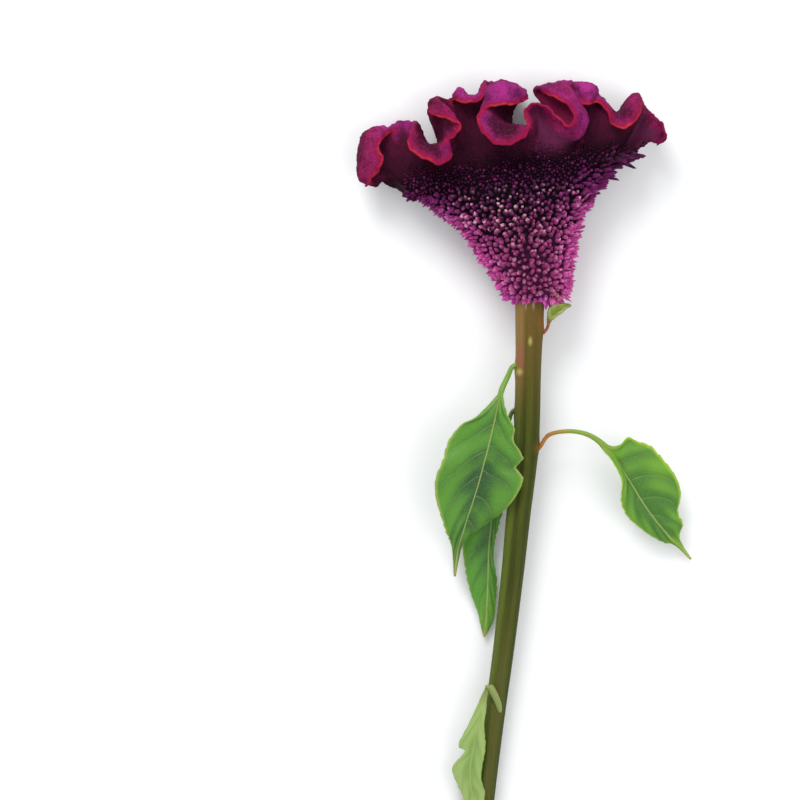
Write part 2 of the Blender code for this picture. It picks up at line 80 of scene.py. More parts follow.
# Each joint: how far down the stem it is, which way round it faces, and how far it swells.
STEM_JOINTS = ((-11, 5, 0.35), (-25.6, 168, 0.5), (-42.8, 208, 0.35), (-55, -20, 0.5), (-153, 95, 0.5))
JOINT_LENGTH = 3.0
# Marks on the front: how far across they lie and how wide they are, how far down and how long.
PINK_MARKS = ((-3.2, 1.4, -21, 6),)
SCARS = ((0.4, 0.9, -15.5, 1.8), (-3.4, 1.5, -27, 1.4), (-1.6, 0.45, -1.5, 2.6), (1.3, 0.45, -1.5, 2.6))
# Rust on the right side: how far down it lies, how long it is, and how strong.
RUST_MARKS = ((-8.5, 4, 1), (-55.5, 2.5, 0.7))
STEM_DARK = "#363b0e"
STEM_MID = "#4a5118"
STEM_LIGHT = "#727d32"
STEM_BROWN = "#6a5224"
STEM_PINK = "#964e48"
STEM_ORANGE = "#9a5c22"
STEM_PALE = "#bdb468"
STEM_SPECK = "#c09a94"
STEM_TAN = "#8e7040"
STEM_SIDE = "#5f6e26"
STEM_FLAT = "#5c5a2a"


class Wire:
    """One output of a material's nodes. Sums on wires add the nodes that work them out."""

    def __init__(self, tree, socket):
        self.tree = tree
        self.socket = socket

    def add(self, kind, settings=None, inputs=None, output=0):
        """One more node: its settings first, then values or wires for its sockets."""
        node = self.tree.nodes.new(kind)
        for name, value in (settings or {}).items():
            setattr(node, name, value)
        for name, value in (inputs or {}).items():
            if isinstance(value, Wire):
                self.tree.links.new(value.socket, node.inputs[name])
            else:
                node.inputs[name].default_value = value
        return Wire(self.tree, node.outputs[output])

    def sum(self, operation, one, two):
        return self.add("ShaderNodeMath", {"operation": operation}, {0: one, 1: two})

    def __add__(self, other):
        return self.sum("ADD", self, other)

    __radd__ = __add__

    def __sub__(self, other):
        return self.sum("SUBTRACT", self, other)

    def __rsub__(self, other):
        return self.sum("SUBTRACT", other, self)

    def __mul__(self, other):
        return self.sum("MULTIPLY", self, other)

    __rmul__ = __mul__

    def __pow__(self, other):
        return self.sum("POWER", self, other)

    def size(self):
        return self.sum("ABSOLUTE", self, 0.0)

    def part(self):
        return self.sum("FRACT", self, 0.0)

    def ease(self, low, high):
        """0 below low, 1 above high, and a smooth rise between them."""
        ends = {"Value": self, "From Min": low, "From Max": high}
        return self.add("ShaderNodeMapRange", {"interpolation_type": "SMOOTHSTEP"}, ends)

    def blend(self, one, two):
        """Colour one where this wire is 0, and colour two where it is 1."""
        ends = {0: self, 6: ink(one), 7: ink(two)}
        return self.add("ShaderNodeMix", {"data_type": "RGBA"}, ends, 2)

    def coats(self, *layers):
        """This colour under further coats, each one a mask and the colour that it lays on."""
        for mask, paint in layers:
            self = mask.blend(self, paint)
        return self

    def noise(self, scale, detail=2.0, stretch=(1, 1, 1)):
        """Cloudy values from 0 to 1 over the points of this wire, finer as scale grows."""
        spread = self.add("ShaderNodeVectorMath", {"operation": "MULTIPLY"}, {0: self, 1: stretch})
        values = {"Vector": spread, "Scale": scale, "Detail": detail, "Roughness": 0.6}
        return self.add("ShaderNodeTexNoise", None, values)

    def parts(self):
        split = self.add("ShaderNodeSeparateXYZ", None, {0: self}).socket.node
        return [Wire(self.tree, socket) for socket in split.outputs]


def ink(colour):
    """A colour written as on a swatch, as the linear value that a shader takes. Wires pass through."""
    if isinstance(colour, Wire):
        return colour
    parts = [int(colour[i : i + 2], 16) / 255 for i in (1, 3, 5)]
    return (*[p / 12.92 if p < 0.04045 else ((p + 0.055) / 1.055) ** 2.4 for p in parts], 1.0)


def new_finish(name, **fixed):
    """A material with these fixed values on its shader, and a wire with the piece's own coordinates."""
    look = bpy.data.materials.new(name)
    look.use_nodes = True
    shader = look.node_tree.nodes["Principled BSDF"]
    for socket, value in fixed.items():
        shader.inputs[socket.replace("_", " ")].default_value = value
    place = look.node_tree.nodes.new("ShaderNodeTexCoord")
    return look, Wire(look.node_tree, place.outputs["Object"])


def dress(look, colour, roughness, height, depth):
    """Gives a material its colour, its roughness, and relief of that depth in metres."""
    shader = look.node_tree.nodes["Principled BSDF"]
    bump = colour.add("ShaderNodeBump", None, {"Height": height, "Distance": depth})
    for socket, wire in (("Base Color", colour), ("Roughness", roughness), ("Normal", bump)):
        look.node_tree.links.new(wire.socket, shader.inputs[socket])


def noted(wire, name):
    """The three numbers that a piece's mesh holds at each point under this name."""
    settings = {"attribute_name": name, "attribute_type": "GEOMETRY"}
    return wire.add("ShaderNodeAttribute", settings, None, 1)


def note(piece, name, values):
    """Writes three numbers at each point of a mesh, for its material to read."""
    held = piece.data.attributes.new(name, "FLOAT_VECTOR", "POINT")
    held.data.foreach_set("vector", np.asarray(values, np.float32).ravel())


def path_through(points, steps):
    """Points along a smooth curve through the given ones, with so many steps between each two."""
    points = np.array(points, float)
    before = 2 * points[:1] - points[1:2]
    after = 2 * points[-1:] - points[-2:-1]
    held = np.concatenate([before, points, after])
    path = []
    for i in range(len(points) - 1):
        a, b, c, d = held[i : i + 4]
        for t in np.arange(steps) / steps:
            bend = 2 * a - 5 * b + 4 * c - d
            twist = 3 * b - a - 3 * c + d
            path.append(b + 0.5 * t * (c - a + t * (bend + t * twist)))
    return np.array([*path, points[-1]])


def pick(*pieces):
    """Selects these pieces and nothing else, and makes the first of them the active one."""
    bpy.ops.object.select_all(action="DESELECT")
    for piece in reversed(pieces):
        piece.select_set(True)
        bpy.context.view_layer.objects.active = piece


def read_all(items, name):
    """Three numbers of each vertex or face, such as its place, in rows."""
    flat = np.empty(len(items) * 3)
    items.foreach_get(name, flat)
    return flat.reshape(-1, 3)


def laid_grid(name, points, notes=None):
    """A grid laid on rows of points, in millimetres from the flower's own origin."""
    rows, columns = points.shape[:2]
    pick()
    bpy.ops.mesh.primitive_grid_add(x_subdivisions=columns - 1, y_subdivisions=rows - 1, size=2)
    piece = bpy.context.object
    piece.name = name
    share = (read_all(piece.data.vertices, "co") + 1) / 2
    column, row = np.rint(share[:, :2] * (columns - 1, rows - 1)).astype(int).T
    piece.data.vertices.foreach_set("co", (ORIGIN + MM * points[row, column]).ravel())
    for key, values in (notes or {}).items():
        note(piece, key, values[row, column])
    return piece


def edit(piece, *steps):
    """Runs edit-mode steps on the whole of a piece."""
    pick(piece)
    bpy.ops.object.mode_set(mode="EDIT")
    bpy.ops.mesh.select_all(action="SELECT")
    for step in steps:
        step()
    bpy.ops.object.mode_set(mode="OBJECT")


def close_seam():
    bpy.ops.mesh.remove_doubles(threshold=1e-6)


def close_ends():
    bpy.ops.mesh.fill_holes(sides=0)


def face_out():
    bpy.ops.mesh.normals_make_consistent(inside=False)


def settle(piece, look, smooth=True):
    """A finished piece, in its material, riding on the one body."""
    piece.data.materials.clear()
    piece.data.materials.append(look)
    if smooth:
        piece.data.shade_smooth()
    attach(piece, "root")


def stem_height(y):
    return (FLOOR + STEM_END_HEIGHT) * (-y / STEM_LENGTH)


def above_floor(points):
    """These points, with any that are below the floor lifted onto it."""
    return np.maximum(points, (-np.inf, -np.inf, FLOOR))


def near(value, middle, reach):
    """1 at the middle, and less and less beyond the reach on both sides of it."""
    return np.exp(-(((value - middle) / reach) ** 2))


def marks(across, y, places):
    """How strongly the marks at these places show on a ring of the stem."""
    return sum(near(across, x, width) * near(y, down, length) for x, width, down, length in places)


turn = np.linspace(0, math.tau, STEM_SIDES + 1)
right_side = np.clip(np.cos(turn), 0, 1) ** 2
front = np.clip(np.sin(turn) * 2, 0, 1)
points, grain, tint = [], [], []
for x, y, radius in path_through(STEM_LINE, STEM_STEPS):
    crest = 0.5 - 0.5 * np.cos(STEM_RIBS * (turn - STEM_TWIST * y))
    wide = radius * (1 - RIB_DEPTH * (1 - crest) ** 1.5)
    wide += STEM_GROOVE_DEPTH * np.cos(STEM_GROOVES * turn + 0.05 * y)
    for joint_y, facing, swell in STEM_JOINTS:
        side = np.clip(np.cos(turn - math.radians(facing)), 0, 1) ** 2
        wide += swell * near(y, joint_y, JOINT_LENGTH) * side
    ring = np.stack([x + wide * np.cos(turn), 0 * turn + y, stem_height(y) + wide * np.sin(turn)], 1)
    across = ring[:, 0] - x
    rust = right_side * sum(strong * near(y, down, length) for down, length, strong in RUST_MARKS)
    blush = front * marks(across, y, PINK_MARKS) - rust
    points.append(ring)
    grain.append(np.stack([radius * np.cos(turn), radius * np.sin(turn), 0 * turn - y], 1))
    tint.append(np.stack([crest, blush, front * marks(across, y, SCARS)], 1))
end_x, end_y, end_radius = STEM_LINE[-1]
for share, bulge in CUT_RINGS:
    ring = np.stack([np.cos(turn), 0 * turn, np.sin(turn)], 1) * end_radius * share
    ring += (end_x, end_y + bulge, stem_height(end_y))
    points.append(ring)
    grain.append(grain[-1])
    flesh = 0.75 + 0.25 * math.cos(9 * share)
    tint.append(np.stack([0 * turn + share, 0 * turn, 0 * turn + flesh], 1))
notes = {"grain": np.array(grain), "tint": np.array(tint)}
stem = laid_grid("stem_skin", above_floor(points), notes)
edit(stem, close_seam, close_ends, face_out)

stem_look, place = new_finish("stem", Specular_IOR_Level=0.12)
fibre = noted(place, "grain")
crest, blush, pale = noted(place, "tint").parts()
across, _, down = fibre.parts()
streak = fibre.noise(0.9, 4.0, (1, 1, 0.035))
fine = fibre.noise(3.4, 3.0, (1, 1, 0.06))
tone = (crest * 0.22 + streak * 0.6 + fine * 0.3 - 0.24).ease(0, 0.9)
left = (0 - across).ease(0.9, 3.4) * (0.45 + 0.5 * streak)
flat = across.ease(-1.8, -0.6) * (1 - across.ease(1.2, 2.4)) * down.ease(95, 150)
colour = tone.ease(0, 0.55).blend(STEM_DARK, STEM_MID).coats(
    (tone.ease(0.55, 1), STEM_LIGHT),
    (left * down.ease(28, 60), STEM_SIDE),
    (flat * 0.7, STEM_FLAT),
    ((1 - down.ease(2, 52)) * (0.5 + 0.7 * streak), STEM_BROWN),
    (left * (1 - down.ease(22, 50)), STEM_TAN),
    (blush.ease(0, 1) * 0.55, STEM_PINK),
    ((0 - blush).ease(0, 1.1) * 0.55, STEM_ORANGE),
    (pale.ease(0.1, 1) * (0.3 + 0.6 * fine), down.ease(5, 10).blend(STEM_SPECK, STEM_PALE)),
)
dress(stem_look, colour, 0.5 + 0.2 * fine, fine + 0.5 * streak, 0.00035)
settle(stem, stem_look)
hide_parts("stem")


# Leaves. Thin green blades on round stalks, with a sunken midrib, side veins that curve towards the
# tip and finely toothed, wavy margins. Each one grows from its own joint on the stem.

# Each stalk: points of its middle line with its radius. Each blade: its left margin, midrib and right
# margin, row by row from the stalk to the tip.
FRONT_STALK = [
    (-4.6, -24.4, 0.2, 1.2),
    (-6.7, -25.2, 0.6, 0.9),
    (-8.3, -28.5, 2.6, 1),
    (-10.6, -33.5, 5, 1.1),
]
FRONT_ROWS = [
    ((-13, -36.3, 6.2), (-11.4, -36.2, 6), (-10, -36.8, 6.4)),
    ((-20, -43.3, 7.5), (-12.6, -42, 6.4), (-8.6, -42.8, 7.4)),
    ((-25.8, -46.6, 6.8), (-13.8, -47.5, 6.2), (-5.9, -48.4, 8.2)),
    ((-30.6, -52.8, 5.2), (-15.2, -53.5, 5.6), (-6.3, -52.4, 7.2)),
    ((-32.8, -60, 5.6), (-16.9, -59.8, 4.8), (-2.6, -59, 6.4)),
    ((-35.4, -66.5, 3.6), (-18.2, -64.8, 4), (-5.2, -62.8, 4.9)),
    ((-35.5, -73.5, 2.6), (-19.6, -69.8, 3.2), (-2.6, -67, 5.2)),
    ((-33.6, -80.6, 2), (-21.5, -75.8, 2.2), (-5.4, -73.6, 3.6)),
    ((-31.6, -86.8, 0.4), (-23.6, -82, 1), (-11.5, -80.8, 0.4)),
    ((-29.8, -91.2, -1.8), (-25.6, -88.5, -0.6), (-18.6, -85.2, -2)),
    ((-28.9, -96.6, -4.6), (-27.2, -94.6, -2.8), (-24.9, -90.4, -3.2)),
    ((-28.5, -103.6, -6.4), (-28.1, -103.8, -6.2), (-27.8, -103.6, -6.4)),
]
RIGHT_STALK = [
    (2.6, -56.2, -3.4, 1),
    (4.1, -54.6, -3, 0.8),
    (7.3, -50.5, -1, 0.8),
    (14.2, -49.2, 1, 0.8),
    (20.6, -50.1, 2, 0.9),
    (25.4, -52.6, 2, 1.1),
]
RIGHT_ROWS = [
    ((30, -54.6, 1.8), (28.6, -55.6, 1.6), (28, -57.2, 1.6)),
    ((33.6, -54.2, 2.4), (31.4, -58.4, 1.2), (30.6, -60, 2.4)),
    ((36.6, -51.4, 2.2), (33.4, -61.6, 0.6), (33, -64, 2.6)),
    ((40.4, -53, 0), (35.4, -65, -0.2), (34.6, -68.2, 2)),
    ((45.4, -54.8, -1.6), (37.6, -68.4, -1.2), (34, -71.6, 0.8)),
    ((50.4, -60.2, -2.4), (39.8, -72, -2.2), (34.4, -76.2, -0.8)),
    ((54.8, -66.2, -3.2), (42.2, -75.8, -3.2), (36.4, -81, -2.8)),
    ((56.8, -72.6, -5.2), (44.8, -79.6, -4.4), (40.4, -84.8, -5)),
    ((55.8, -79.6, -7), (47.6, -83.2, -5.6), (45.6, -88.6, -7)),
    ((57.6, -84, -7.4), (50.6, -86.8, -7), (50.4, -91.2, -8.6)),
    ((56.4, -88.6, -9.2), (53.6, -90.2, -8.6), (53.6, -91.6, -9.8)),
    ((57.9, -92.6, -10.8), (57.2, -93.2, -10.6), (56.6, -93.8, -10.8)),
    ((61.1, -97.2, -12.6), (60.8, -97.5, -12.6), (60.4, -97.7, -12.6)),
]
BEHIND_STALK = [
    (-5.2, -41, -3.2, 0.9),
    (-7, -42.6, -3.6, 0.8),
    (-8.6, -49, -5.6, 0.9),
    (-10, -56, -7, 1),
]
BEHIND_ROWS = [
    ((-11.8, -60.2, -7.6), (-10.4, -60.4, -7.8), (-9.2, -60.8, -7.6)),
    ((-17, -67.5, -7.4), (-12, -68, -8.4), (-8.6, -69, -7.6)),
    ((-21.6, -75.5, -8.2), (-13.2, -76, -8.8), (-9.4, -77, -8)),
    ((-24.4, -84, -9.4), (-14.2, -84, -9.2), (-11.6, -84.6, -8.4)),
    ((-25.2, -92, -9.8), (-15, -92, -9.6), (-13.2, -91.4, -9.6)),
    ((-24.6, -99, -9.4), (-15.4, -99, -10), (-13.6, -98, -10.6)),
    ((-23.4, -105.6, -10.4), (-15.6, -105.6, -10.4), (-12.2, -105, -11.6)),
    ((-21.6, -112, -11.6), (-15.9, -112, -10.8), (-12.6, -111.6, -11.4)),
    ((-19.4, -117.6, -12.2), (-16.2, -118, -11.4), (-13, -117.6, -11.6)),
    ((-18.6, -121.4, -12.4), (-16.5, -122.2, -12), (-13.8, -121.4, -12.4)),
    ((-17.3, -126.6, -13), (-16.9, -126.8, -12.9), (-16.5, -126.6, -13)),
]
LOW_STALK = [
    (-11.4, -155.8, -6.6, 0.9),
    (-11.6, -152.4, -4.4, 1.1),
    (-13.4, -147.8, -2.8, 1.3),
    (-15.4, -145, -2.2, 1.3),
]
LOW_ROWS = [
    ((-18.2, -148.6, -2.8), (-17, -147.6, -2.6), (-16, -148.6, -2.8)),
    ((-20.4, -153.6, -4), (-18, -153.4, -3.6), (-16.4, -153.8, -3)),
    ((-23.2, -159.6, -5.4), (-19.2, -159.2, -4.4), (-17.2, -159, -2.8)),
    ((-26.8, -167.2, -6.8), (-20.6, -165.2, -5), (-16.8, -164.4, -2.6)),
    ((-24.4, -169.6, -6.6), (-21.4, -169.6, -5.4), (-16.8, -169, -2.8)),
    ((-29, -175.6, -8.6), (-22.2, -175.2, -6), (-17.8, -174.6, -3.8)),
    ((-27.4, -181.6, -9), (-22.2, -181, -6.8), (-18.2, -179.8, -4.6)),
    ((-25, -187, -9.2), (-21.6, -187.2, -7.8), (-16.9, -186.2, -4.8)),
    ((-25.4, -193.6, -9.2), (-22.8, -194, -8.2), (-19.6, -193, -5.8)),
    ((-25.2, -203, -10.4), (-24.8, -203.2, -10.4), (-24.4, -203, -10.4)),
]
SMALL_STALK = [
    (4.8, -12.4, 0.3, 0.7),
    (6.2, -11, 0.6, 0.6),
    (6.8, -9.4, 1, 0.6),
]
SMALL_ROWS = [
    ((6.4, -7, 1.6), (7, -7.6, 1.2), (7.7, -8.2, 1.6)),
    ((6.8, -3.6, 3), (8.4, -5.2, 1.6), (9.8, -6.4, 2.6)),
    ((8.6, -1.8, 3.4), (10.4, -3.6, 1.8), (12.2, -4.6, 3)),
    ((11.6, -1.4, 3), (12.6, -2.4, 1.8), (13.6, -3.2, 2.8)),
    ((15.3, -1.7, 2), (15.4, -1.9, 1.9), (15.5, -2.1, 2)),
]
LEAF_STEPS = 9
LEAF_COLUMNS = 41
LEAF_HALF_EDGE = 0.13
LEAF_HALF_BLADE = 0.2
LEAF_RIB = 0.8
LEAF_RIB_TIP = 0.3
LEAF_RIB_WIDTH = 1.9
LEAF_GROOVE = 0.22
LEAF_GROOVE_WIDTH = 1.6
LEAF_FULL_WIDTH = 12.0
# Side veins: how far they sweep forward, how they curve, and how far right ones lie behind left ones.
VEIN_SWEEP = 0.2
VEIN_CURVE = 1.35
VEIN_STAGGER = 0.03
TEETH_A_VEIN = 3.0
TOOTH = 0.45
PUCKER = 1.2
# Waves of the margin: how close, how slanted, and how high.
MARGIN_WAVES = ((23, 1.5, 0.6), (41, 2, 0.4))
# Each leaf: its node, its stalk and rows, pairs of side veins, how wavy it is, and the colours of its
# young flesh, older flesh, margin, stalk and joint.
LEAVES = (
    ("leaf_front", FRONT_STALK, FRONT_ROWS, 7, 0.6, "#4e8420", "#1c4a1c", "#9aa84a",
     "#6f9434", "#9a9458"),
    ("leaf_right", RIGHT_STALK, RIGHT_ROWS, 7, 0.45, "#66981c", "#386c16", "#a0b818",
     "#7e9a2e", "#b06a24"),
    ("leaf_behind", BEHIND_STALK, BEHIND_ROWS, 7, 0.4, "#4c8822", "#2a5e1e", "#88a044",
     "#5c7a2c", "#6a6a30"),
    ("leaf_low", LOW_STALK, LOW_ROWS, 6, 0.1, "#94aa60", "#78984a", "#84a048",
     "#86924c", "#7a803c"),
    ("leaf_small", SMALL_STALK, SMALL_ROWS, 4, 0.1, "#a6ae5c", "#7e8e38", "#4c4c1c",
     "#86502a", "#9a4424"),
)
VEIN_PALE = "#9aaa58"
UNDERSIDE = "#7c9c58"
TIP_BROWN = "#b09a5c"


def stalk_rows(stalk, across):
    """Left, middle and right of a round stalk at each of its points, its radius and a mark of 1."""
    places = [Vector(p[:3]) for p in stalk]
    last = places[-1] - places[-2]
    hand = math.copysign(1, Vector((-last.y, last.x, 0)).dot(across))
    rows = []
    for i, spot in enumerate(places):
        radius = stalk[i][3]
        ahead = places[min(i + 1, len(places) - 1)] - places[max(i - 1, 0)]
        side = Vector((-ahead.y, ahead.x, 0)).normalized() * radius * hand
        rows.append((*(spot - side), *spot, *(spot + side), radius, 1.0))
    return rows


def lengths_along(path):
    """How far along a path each of its points lies."""
    steps = np.linalg.norm(np.diff(path, axis=0), axis=1)
    return np.concatenate([[0], steps.cumsum()])


def unit(ways, least=0.0):
    """Directions made one unit long, except those that are shorter than the least."""
    return ways / np.maximum(np.linalg.norm(ways, axis=-1, keepdims=True), least)


def leaf_blade(node, stalk, blade, pairs, wave):
    """One closed skin: a round stalk that opens into a thin veined blade."""
    rows = stalk_rows(stalk, Vector(blade[0][2]) - Vector(blade[0][0]))
    for k, (left, middle, right) in enumerate(blade):
        part = k / (len(blade) - 1)
        rib = LEAF_RIB + (LEAF_RIB_TIP - LEAF_RIB) * part
        rows.append((*left, *middle, *right, rib, 0.0))
    rows = path_through(rows, LEAF_STEPS)
    left, middle, right = (rows[:, None, i : i + 3] for i in (0, 3, 6))
    rib = rows[:, 9][:, None]
    stalky = np.clip(rows[:, 10], 0, 1)[:, None]
    u = np.linspace(-1, 1, LEAF_COLUMNS)
    away = np.abs(u)[None]
    outward = np.where(u[:, None] < 0, left, right) - middle
    sheet = middle + away[..., None] * outward
    walked = lengths_along(rows[:, 3:6])
    begins = walked[len(stalk) * LEAF_STEPS]
    along = ((walked - begins) / (walked[-1] - begins))[:, None]
    width = np.linalg.norm(right - left, axis=2)
    full = np.clip(width / LEAF_FULL_WIDTH, 0, 1) * (1 - stalky)
    vein = (along - VEIN_SWEEP * away**VEIN_CURVE + VEIN_STAGGER * (u > 0)) * pairs
    swell = np.sin(math.pi * (vein % 1.0)) ** 0.6 * np.sin(math.pi * away) ** 0.7
    ripple = sum(high * np.sin(along * close + slant * u) for close, slant, high in MARGIN_WAVES)
    lift = full * wave * (PUCKER * swell + away**3 * ripple)
    uneven = 0.25 + np.sin(along * 9 + 1.3 * u) ** 2
    tooth = (0.5 - (along * pairs * TEETH_A_VEIN) % 1.0) * full * away**10 * TOOTH * uneven
    sheet = sheet + unit(outward, 1e-6) * tooth[..., None]
    normal = unit(np.cross(np.gradient(sheet, axis=1), np.gradient(sheet, axis=0)))
    if normal[..., 2].mean() < 0:
        normal = -normal
    sheet = sheet + normal * lift[..., None]
    round_half = rib * np.sqrt(np.clip(1 - away**2, 0, 1))
    thin = LEAF_HALF_EDGE + (LEAF_HALF_BLADE - LEAF_HALF_EDGE) * (1 - away)
    over = thin - LEAF_GROOVE * full * near(away * width, 0, LEAF_GROOVE_WIDTH)
    under = thin + rib * near(away * width, 0, LEAF_RIB_WIDTH)
    over = over + (round_half - over) * stalky
    under = under + (round_half - under) * stalky
    top = sheet + normal * over[..., None]
    low = sheet - normal * under[..., None]
    ring = np.concatenate([top, low[:, ::-1], top[:, :1]], 1)
    spread = np.concatenate([u, u[::-1], u[:1]])
    face = np.where(np.arange(len(spread)) < LEAF_COLUMNS, 1.0, -1.0)
    notes = {
        "blade": np.stack(np.broadcast_arrays(spread, along, face), 2),
        "build": np.stack(np.broadcast_arrays(stalky, width, 0 * spread), 2),
    }
    return laid_grid(node + "_blade", above_floor(ring), notes)


def leaf_finish(name, pairs, fresh, deep, margin, stalk_green, joint, shows_under):
    glow = {"Subsurface_Weight": 0.08, "Subsurface_Radius": (0.2, 1, 0.1), "Subsurface_Scale": 0.002}
    look, place = new_finish(name, Specular_IOR_Level=0.4, **glow)
    across, along, face = noted(place, "blade").parts()
    stalky, width, _ = noted(place, "build").parts()
    away = across.size()
    wander = place.noise(90, 2)
    line = along - VEIN_SWEEP * away**VEIN_CURVE + VEIN_STAGGER * across.ease(0, 0.001)
    line = line * pairs + (wander - 0.5) * 0.34
    off_vein = (line.part() - 0.5).size()
    vein = off_vein.ease(0.455, 0.498) * away.ease(0, 0.04) * (1 - away.ease(0.7, 1))
    rib = 1 - (away * width).ease(0.25, 0.75)
    edges = {"feature": "DISTANCE_TO_EDGE"}
    cells = place.add("ShaderNodeTexVoronoi", edges, {"Vector": place, "Scale": 900.0})
    net = 1 - cells.ease(0, 0.16)
    cloud = place.noise(55, 3)
    broad = place.noise(26, 2)
    core = (1 - away.ease(0, 0.8)) * (1 - (along - 0.46).size().ease(0, 0.42))
    tone = cloud * 0.6 + broad * 1.2 + off_vein * 0.7 + core * 0.55 - away * 0.12 - 0.75
    rim = away.ease(0.9, 1) * (0.35 + 0.9 * cloud)
    colour = tone.ease(0.05, 0.85).blend(fresh, deep).coats(
        (net * 0.08, VEIN_PALE),
        (vein * (0.35 * cloud + 0.35 * broad - 0.13), VEIN_PALE),
        ((0 - face).ease(-0.1, 0.1) * (0.0 if shows_under else 0.6), UNDERSIDE),
        (rib * 0.75, VEIN_PALE),
        (rim * (1 - stalky), margin),
        (along.ease(0.72, 1) * 0.4, margin),
        (along.ease(0.955, 1), TIP_BROWN),
        (1 - along.ease(-0.02, 0.1), stalk_green),
        (1 - along.ease(-0.5, -0.2), joint),
    )
    height = 0 - vein * 0.6 - net * 0.25 + cloud * 0.4
    dress(look, colour, 0.26 + 0.24 * cloud, height, 0.0002)
    return look


for node, stalk, blade, pairs, wave, *colours in LEAVES:
    leaf = leaf_blade(node, stalk, blade, pairs, wave)
    edit(leaf, close_seam, close_ends, face_out)
    look = leaf_finish(node, pairs, *colours, node == "leaf_low")
    settle(leaf, look)
    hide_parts(node)


# Comb. The velvet blade on top of the bloom, grown in one piece with it: dark plum in front and bright
# magenta behind, partly its own colour and partly painted light on open lips near the edge and painted
# shade in closed folds, and folded into lips and cups whose growing edge is a thin orange-red cord.

SEAM_HEIGHT = 49.0
SEAM_SLOPE = 0.17
SEAM_LEFT = -45.0
SEAM_RIGHT = 36.5
# Stations along the growing edge: the edge, the crown that the blade bends over just below it, and a
# neck below that where a lobe leans out sideways over a gap.
COMB_EDGE = [
    ((-61.5, 42.5, 2), (-57, 43, 0)),
    ((-59.5, 45.5, 6), (-63, 45, -1)),
    ((-56.5, 49, 9), (-63.5, 51, -3)),
    ((-55.5, 53, 10), (-63, 57, -4)),
    ((-57, 57, 8), (-61.5, 61.5, -4)),
    ((-55, 61, 3), (-57.5, 64, -3)),
    ((-51.5, 63.5, -5), (-53, 64.5, -5)),
    ((-48.5, 64, -16.5), (-49, 66, -9)),
    ((-44.5, 65, -9), (-44.8, 66.3, -6)),
    ((-44.2, 63.4, 3), (-42.2, 65.8, -2)),
    ((-45.5, 58.5, 10), (-41.6, 61.5, 0)),
    ((-43.4, 55, 13), (-39.6, 57.6, 2)),
    ((-38.6, 52.4, 16), (-37.2, 56.2, 3)),
    ((-33.6, 50.6, 17), (-34.4, 56.6, 3)),
    ((-29.6, 53.8, 14), (-32.2, 58.2, 1)),
    ((-32.2, 57.8, 10), (-31.4, 61.5, -3)),
    ((-28.8, 61.2, 11), (-32.8, 65.5, -5)),
    ((-26.1, 64.4, 12), (-35.6, 69, -5)),
    ((-29.5, 67.2, 12), (-37.2, 72.8, -2)),
    ((-34.2, 68.7, 9), (-34.8, 74.8, -1)),
    ((-37.2, 70.3, 1), (-33, 75.2, -5)),
    ((-34.5, 72, -9), (-31.2, 74.6, -7)),
    ((-30.5, 72.5, -14), (-29.4, 74.6, -9)),
    ((-28.2, 75.2, -1), (-28, 77, -4)),
    ((-26, 74.2, 6), (-25.8, 78.4, -2)),
    ((-22.8, 73.9, 7), (-22.9, 75, -1)),
    ((-19.4, 74.6, 7), (-20, 75.2, -2)),
    ((-16.9, 77.3, 5), (-18, 78.4, -4)),
    ((-16.8, 80, 0), (-16.8, 80.8, -6)),
    ((-12.5, 77.5, -15.5), (-12.5, 81, -9), (-13.5, 71, -7)),
    ((-6.5, 76, -14), (-6, 79.6, -9), (-10.8, 70.2, -6)),
    ((-1.4, 75.6, 1), (-2.2, 77.6, -3), (-8.2, 69.2, -4)),
    ((-5.5, 73.4, 8), (-5.5, 79.6, -1), (-9.2, 70, -3)),
    ((-11.5, 72.9, 11), (-11, 80.9, 0), (-11.5, 71, -2)),
    ((-17, 71.4, 13), (-15, 77.6, 0)),
    ((-19.6, 67, 15), (-14, 72, 2)),
    ((-17.4, 62, 18), (-11.5, 66.5, 3)),
    ((-12.2, 57.9, 19), (-8.5, 63.8, 3)),
    ((-5.6, 58.8, 18), (-4.5, 63, 1)),
    ((-1, 62.8, 15), (0.8, 62.5, 7)),
    ((-1.6, 67.2, 11), (1.5, 66.5, 6)),
    ((-1.9, 71.4, 9), (0.5, 69.8, 5)),
    ((3.6, 73.2, 10), (4.5, 69.8, 5)),
    ((8.6, 69.6, 12), (8.5, 65.3, 7)),
    ((11.8, 66.2, 14.5), (12.6, 62.5, 9)),
    ((14.8, 64.8, 16), (17.4, 61, 10)),
    ((16.4, 67.4, 15), (20.4, 64.5, 9)),
    ((15.2, 71.4, 11.5), (20, 70.2, 5)),
    ((11.6, 74.6, 9), (12.6, 79.6, -2)),
    ((5.6, 77.6, 4), (2.2, 78, -4)),
    ((7, 79, -7), (6, 80.4, -7)),
    ((13.5, 77.5, -15.5), (14, 81.6, -9)),
    ((16.8, 76, -1), (18.5, 81.2, -5)),
    ((20.8, 73.2, 6), (24.2, 79.6, -3)),
    ((25, 74.2, 2), (25.6, 76, -4)),
    ((28.8, 71, 4), (29.8, 72, -1)),
    ((30.8, 65.8, 8), (32, 68.5, 1)),
    ((35.6, 64.4, 12), (34.8, 70.5, 3)),
    ((40.2, 68.6, 10), (37.4, 75, 2)),
    ((41.4, 73.6, 4), (39.4, 76.6, 0)),
    ((41.4, 74.6, -6), (41.5, 75.8, -5)),
    ((42.5, 69.5, -18.5), (43, 71.5, -10)),
    ((46, 68.4, -5), (46.5, 69, -4)),
    ((49.8, 64.6, 2), (49.3, 65.4, 0)),
    ((50.6, 60, 4), (49.9, 60.8, 1)),
    ((47.5, 57.8, 3), (47.3, 58.6, 1)),
]
COMB_SPREAD = 5.0
COMB_SINK = 2.5
COMB_LOW = 0.38
COMB_LOW_FOLD = 0.2
COMB_HIGH = 0.75
COMB_HIGH_FOLD = 0.55
COMB_SWELL = (0, 0.2, 0.15)
COMB_STEPS = 10
